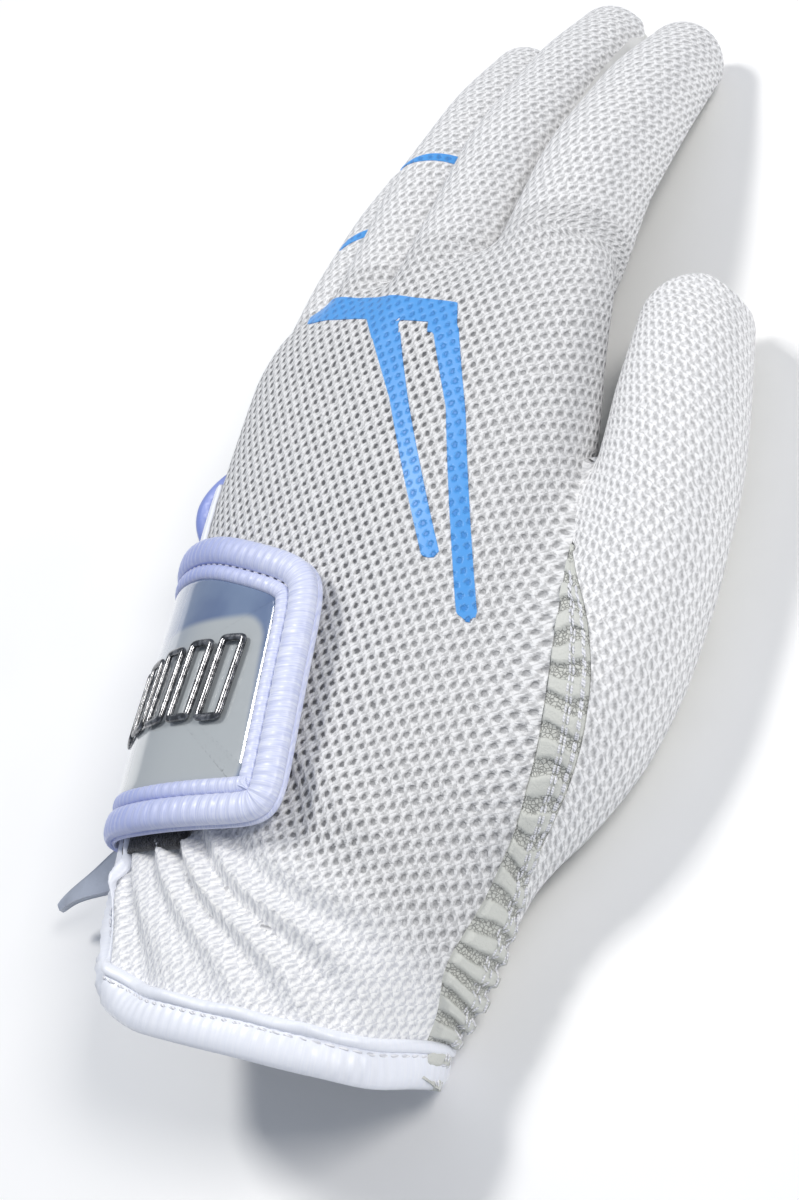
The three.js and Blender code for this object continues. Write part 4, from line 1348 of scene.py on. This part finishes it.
def strip_height(w, turn, y):
    """Height of the gathered strip at a share of its width, a count of puffs, and y."""
    puff = smooth(0.5 + 0.95 * (np.cos(2 * math.pi * turn) + 0.15))
    crumple = np.sin(w * 38 + 3 * np.sin(turn * 9)) * np.sin(turn * 33 + w * 11)
    pinch = np.maximum(np.exp(-((w - 0.56) / 0.05) ** 2), np.exp(-((w - 0.84) / 0.05) ** 2))
    swell = 0.9 + 0.5 * smooth((-26 - y) / 14)
    height = puff * swell * (1 - 0.45 * pinch) + 0.16 * crumple * (1 - puff)
    ends = smooth(w / 0.1) * smooth((1 - w) / 0.1)
    narrow = smooth((STRIP_TOP - y) / 14)
    return -0.35 + (0.5 + height) * ends * (0.25 + 0.75 * narrow)


def make_strip():
    y = np.arange(STRIP_LOW + 1.5, STRIP_TOP - 0.6, 0.33)
    rows, columns = len(y), STRIP_COLUMNS
    w = np.linspace(-0.04, 1.04, columns)
    bx, bz, _ = back_seam(y)
    tx, tz, _ = thumb_seam(y)
    p = np.stack([bx[:, None] * (1 - w) + tx[:, None] * w, np.repeat(y[:, None], columns, 1),
                  bz[:, None] * (1 - w) + tz[:, None] * w], 2).reshape(-1, 3)
    p = settle(p, turns=5)
    n = unit(gradient(p))
    run = np.r_[0, np.cumsum(np.hypot(np.diff(bx), np.hypot(np.diff(y), np.diff(bz))))]
    tight = 1 + 0.35 * smooth((-28 - y) / 14)
    turn = np.cumsum(np.r_[0, np.diff(run) * (tight[1:] + tight[:-1]) / 2]) / RIB
    ww, tt = np.tile(w, rows), np.repeat(turn, columns)
    tt = tt + 0.12 * np.sin(ww * 5 + tt * 1.3)
    top = p + n * strip_height(ww, tt, np.repeat(y, columns))[:, None]
    strip = slab("shirred_side_strip", top, p - n * STRIP_THICK, rows, columns,
                 np.column_stack([ww * 8, tt]), flip=True)
    finish_piece(strip, shirred, ["shirred_strip"])
    top, n = top.reshape(rows, columns, 3), n.reshape(rows, columns, 3)
    runs = []
    for share in STRIP_SEAMS:
        j = int(round((share + 0.04) / 1.08 * (columns - 1)))
        keep = slice(None, int(rows * (0.93 if share < 0.7 else 0.9)))
        runs.append((top[keep, j] + n[keep, j] * 0.1, n[keep, j]))
    sewn = stitches("strip_stitches", runs, length=1.5, wide=0.22, tall=0.18, gap=1.9)
    finish_piece(sewn, thread)


make_strip()


# ------------------------------------------------------------------ closure tab
# unrolled outlines of the tab, the loop patch on the back and the hook patch under the tab
TAB = joined([(10, 21), (-18, 30), (-40, 33), (-63, 32), (-63, -20.5), (-40, -27), (-18, -30),
              (15, -28.5)], 5.6, closed=True)
LOOP = joined([(4, 14), (-38, 18), (-38, -30.5), (-8, -31.5)], 1.0, closed=True)
HOOK = joined([(4, 14), (-34, 18), (-34, -22), (8, -21)], 1.0, closed=True)
TAB_BEND = ("hand", "tab", (-0.0505, 0.005, 0.009), (-0.0455, 0.005, 0.026))
# rings of each sheet from its underside to its top: inset, scale to the middle, height
BASE_RINGS = [(0.8, 0.5, 2.9), (0.8, 0.97, 2.9), (0.3, 1, 3.0), (0, 1, 3.4), (0, 1, 3.9),
              (0.5, 1, 4.3), (4, 1, 4.4), (8, 1, 4.4), (8, 0.5, 4.4)]
WINDOW_RINGS = ([(8.0, 0.5, 4.5), (8.0, 1, 4.5), (8.0, 1, 5.0), (8.6, 1, 5.35)]
                + [(9.4, scale, 5.45) for scale in np.linspace(1, 0.06, 22)])
HOOK_RINGS = [(0, 0.5, 1.9), (0, 1, 1.9), (0, 1, 2.5), (0.3, 1, 2.7), (0.3, 0.8, 2.7), (0.3, 0.5, 2.7)]
LOOP_RINGS = ([(0, 0.5, 0.2), (0, 1, 0.2), (0, 1, 1.0), (0.3, 1, 1.4)]
              + [(0.3, scale, 1.5) for scale in np.linspace(0.97, 0.1, 24)])


def tab_roll(name, section, pucker, node):
    roll = sweep(name, TAB, section, True, pucker=pucker, laid=True)
    finish_piece(roll, satin_tab, [node], bend=TAB_BEND)


def emblem_link(k):
    """One of the row of plain slanting chrome frames."""
    middle, tall = -5.0 - 7.6 * k, 8.4 - 0.4 * k
    corners = [(middle + 2.9, -1.5 - tall), (middle + 3.5, -1.5 + tall),
               (middle - 2.7, -1.3 + tall), (middle - 3.3, -1.7 - tall)]
    outline = joined(corners, 1.0, 0.4, closed=True)
    link = sweep(f"tab_emblem_link_{k}", outline, oval(0.7, 6.4, 0.7, 0.6, 2.2, 12), True, laid=True)
    finish_piece(link, chrome, ["tab_badge"] if k == 0 else [], ride="tab")


def make_tab():
    base = sheet_patch("tab_satin", TAB, BASE_RINGS)
    finish_piece(base, satin_tab, ["tab_base"], bend=TAB_BEND)
    tab_roll("tab_outer_roll", oval(2.75, 5.35, 2.7, 1.9, 2.3, 18), 0.07, "tab_outer_welt")
    tab_roll("tab_inner_roll", oval(7.1, 5.1, 1.5, 1.2, 2.2, 16), 0.1, "tab_inner_welt")
    window = sheet_patch("tab_window_film", TAB, WINDOW_RINGS)
    finish_piece(window, film, ["tab_window"], bend=TAB_BEND)
    run = run_on_hand(TAB, 5.5, 5.3, closed=True, laid=True)
    groove = stitches("tab_stitches", [run], length=1.4, wide=0.24, tall=0.2)
    finish_piece(groove, thread, bend=TAB_BEND)
    for k in range(5):
        emblem_link(k)
    hook = sheet_patch("tab_hook_patch", HOOK, HOOK_RINGS)
    finish_piece(hook, pile, ["tab_hook"], ride="tab")
    loop = sheet_patch("loop_fabric", LOOP, LOOP_RINGS, grain=0.16)
    finish_piece(loop, pile, ["loop_patch"])


make_tab()


# ------------------------------------------------------------------ leather flap at the wrist
FLAP_ROOT = np.array([-40.5, -21.0, 12.5])
FLAP_TIP = np.array([-70.0, -31.5, 8.0])
FLAP_HALF = 0.6                         # half its thickness


def make_flap():
    rows, columns = 26, 12
    t, w = np.meshgrid(np.linspace(0, 1, rows), np.linspace(-1, 1, columns), indexing="ij")
    spine = FLAP_ROOT + (FLAP_TIP - FLAP_ROOT) * t[..., None]
    spine[..., 2] += 2.2 * np.sin(t * math.pi) + 0.5 * np.sin(t * 9 + w)
    across = np.array([0.12, -0.98, -0.1])
    half = 5.4 * (1 - t) ** 0.8 + 0.5
    middle = spine + across * (w * half)[..., None]
    middle[..., 2] += 0.9 * w * w * (1 - t)
    middle = middle.reshape(-1, 3)
    uv = np.column_stack([t.ravel() * 30, w.ravel() * 8])
    flap = slab("wrist_flap", middle + [0, 0, FLAP_HALF], middle - [0, 0, FLAP_HALF], rows, columns, uv)
    finish_piece(flap, flap_leather_painted_shade, ["ulnar_flap"])


make_flap()


# ------------------------------------------------------------------ floor, light and camera
FLOOR_HALF = 3000.0


def make_floor():
    corners = [(-1, -1, 0), (1, -1, 0), (1, 1, 0), (-1, 1, 0)]
    floor = make_object("floor", FLOOR_HALF * np.array(corners), [np.arange(4)], smooth_faces=False)
    s = Shader("floor_paper", (0.96, 0.96, 0.96), 0.9)
    grain = s.noise(s.place(), 0.02, 2.0)
    s.color(s.mix(s.spread(grain, 0.3, 0.7), (0.95, 0.95, 0.95), (0.97, 0.97, 0.97)))
    floor.data.materials.append(s.mat)


LIGHT_TARGET = Vector((0, 0, 0.02))


def area_light(name, place, size, power, color):
    light = bpy.data.lights.new(name, "AREA")
    light.energy = power
    light.size = size
    light.color = color
    obj = bpy.data.objects.new(name, light)
    obj.location = place
    obj.rotation_euler = (LIGHT_TARGET - Vector(place)).to_track_quat("-Z", "Y").to_euler()
    bpy.context.scene.collection.objects.link(obj)


def make_lights():
    world = bpy.data.worlds.new("world")
    bpy.context.scene.world = world
    world.use_nodes = True
    background = world.node_tree.nodes["Background"]
    background.inputs[0].default_value = (0.78, 0.86, 1.0, 1)
    background.inputs[1].default_value = 0.36
    area_light("key", (0.78, 0.12, 0.72), size=0.3, power=5.4, color=(1.0, 0.97, 0.93))
    area_light("top", (-0.42, 0.36, 1.0), size=0.22, power=6.6, color=(1.0, 0.985, 0.96))


CAMERA_PLACE = Vector((0.2463, -0.1342, 0.2837))
CAMERA_AHEAD = Vector((-0.613, 0.4138, -0.673))
CAMERA_UP = Vector((0.0604, 0.8739, 0.4823))
LENS_MM = 62.7


def make_camera():
    data = bpy.data.cameras.new("camera")
    data.lens = LENS_MM
    data.sensor_width = 36
    camera = bpy.data.objects.new("camera", data)
    bpy.context.scene.collection.objects.link(camera)
    ahead = CAMERA_AHEAD.normalized()
    right = ahead.cross(CAMERA_UP).normalized()
    turn = Matrix((right, right.cross(ahead), -ahead)).transposed()
    camera.matrix_world = Matrix.Translation(CAMERA_PLACE) @ turn.to_4x4()
    bpy.context.scene.camera = camera


make_floor()
make_lights()
make_camera()
bpy.context.scene.view_settings.view_transform = "Standard"
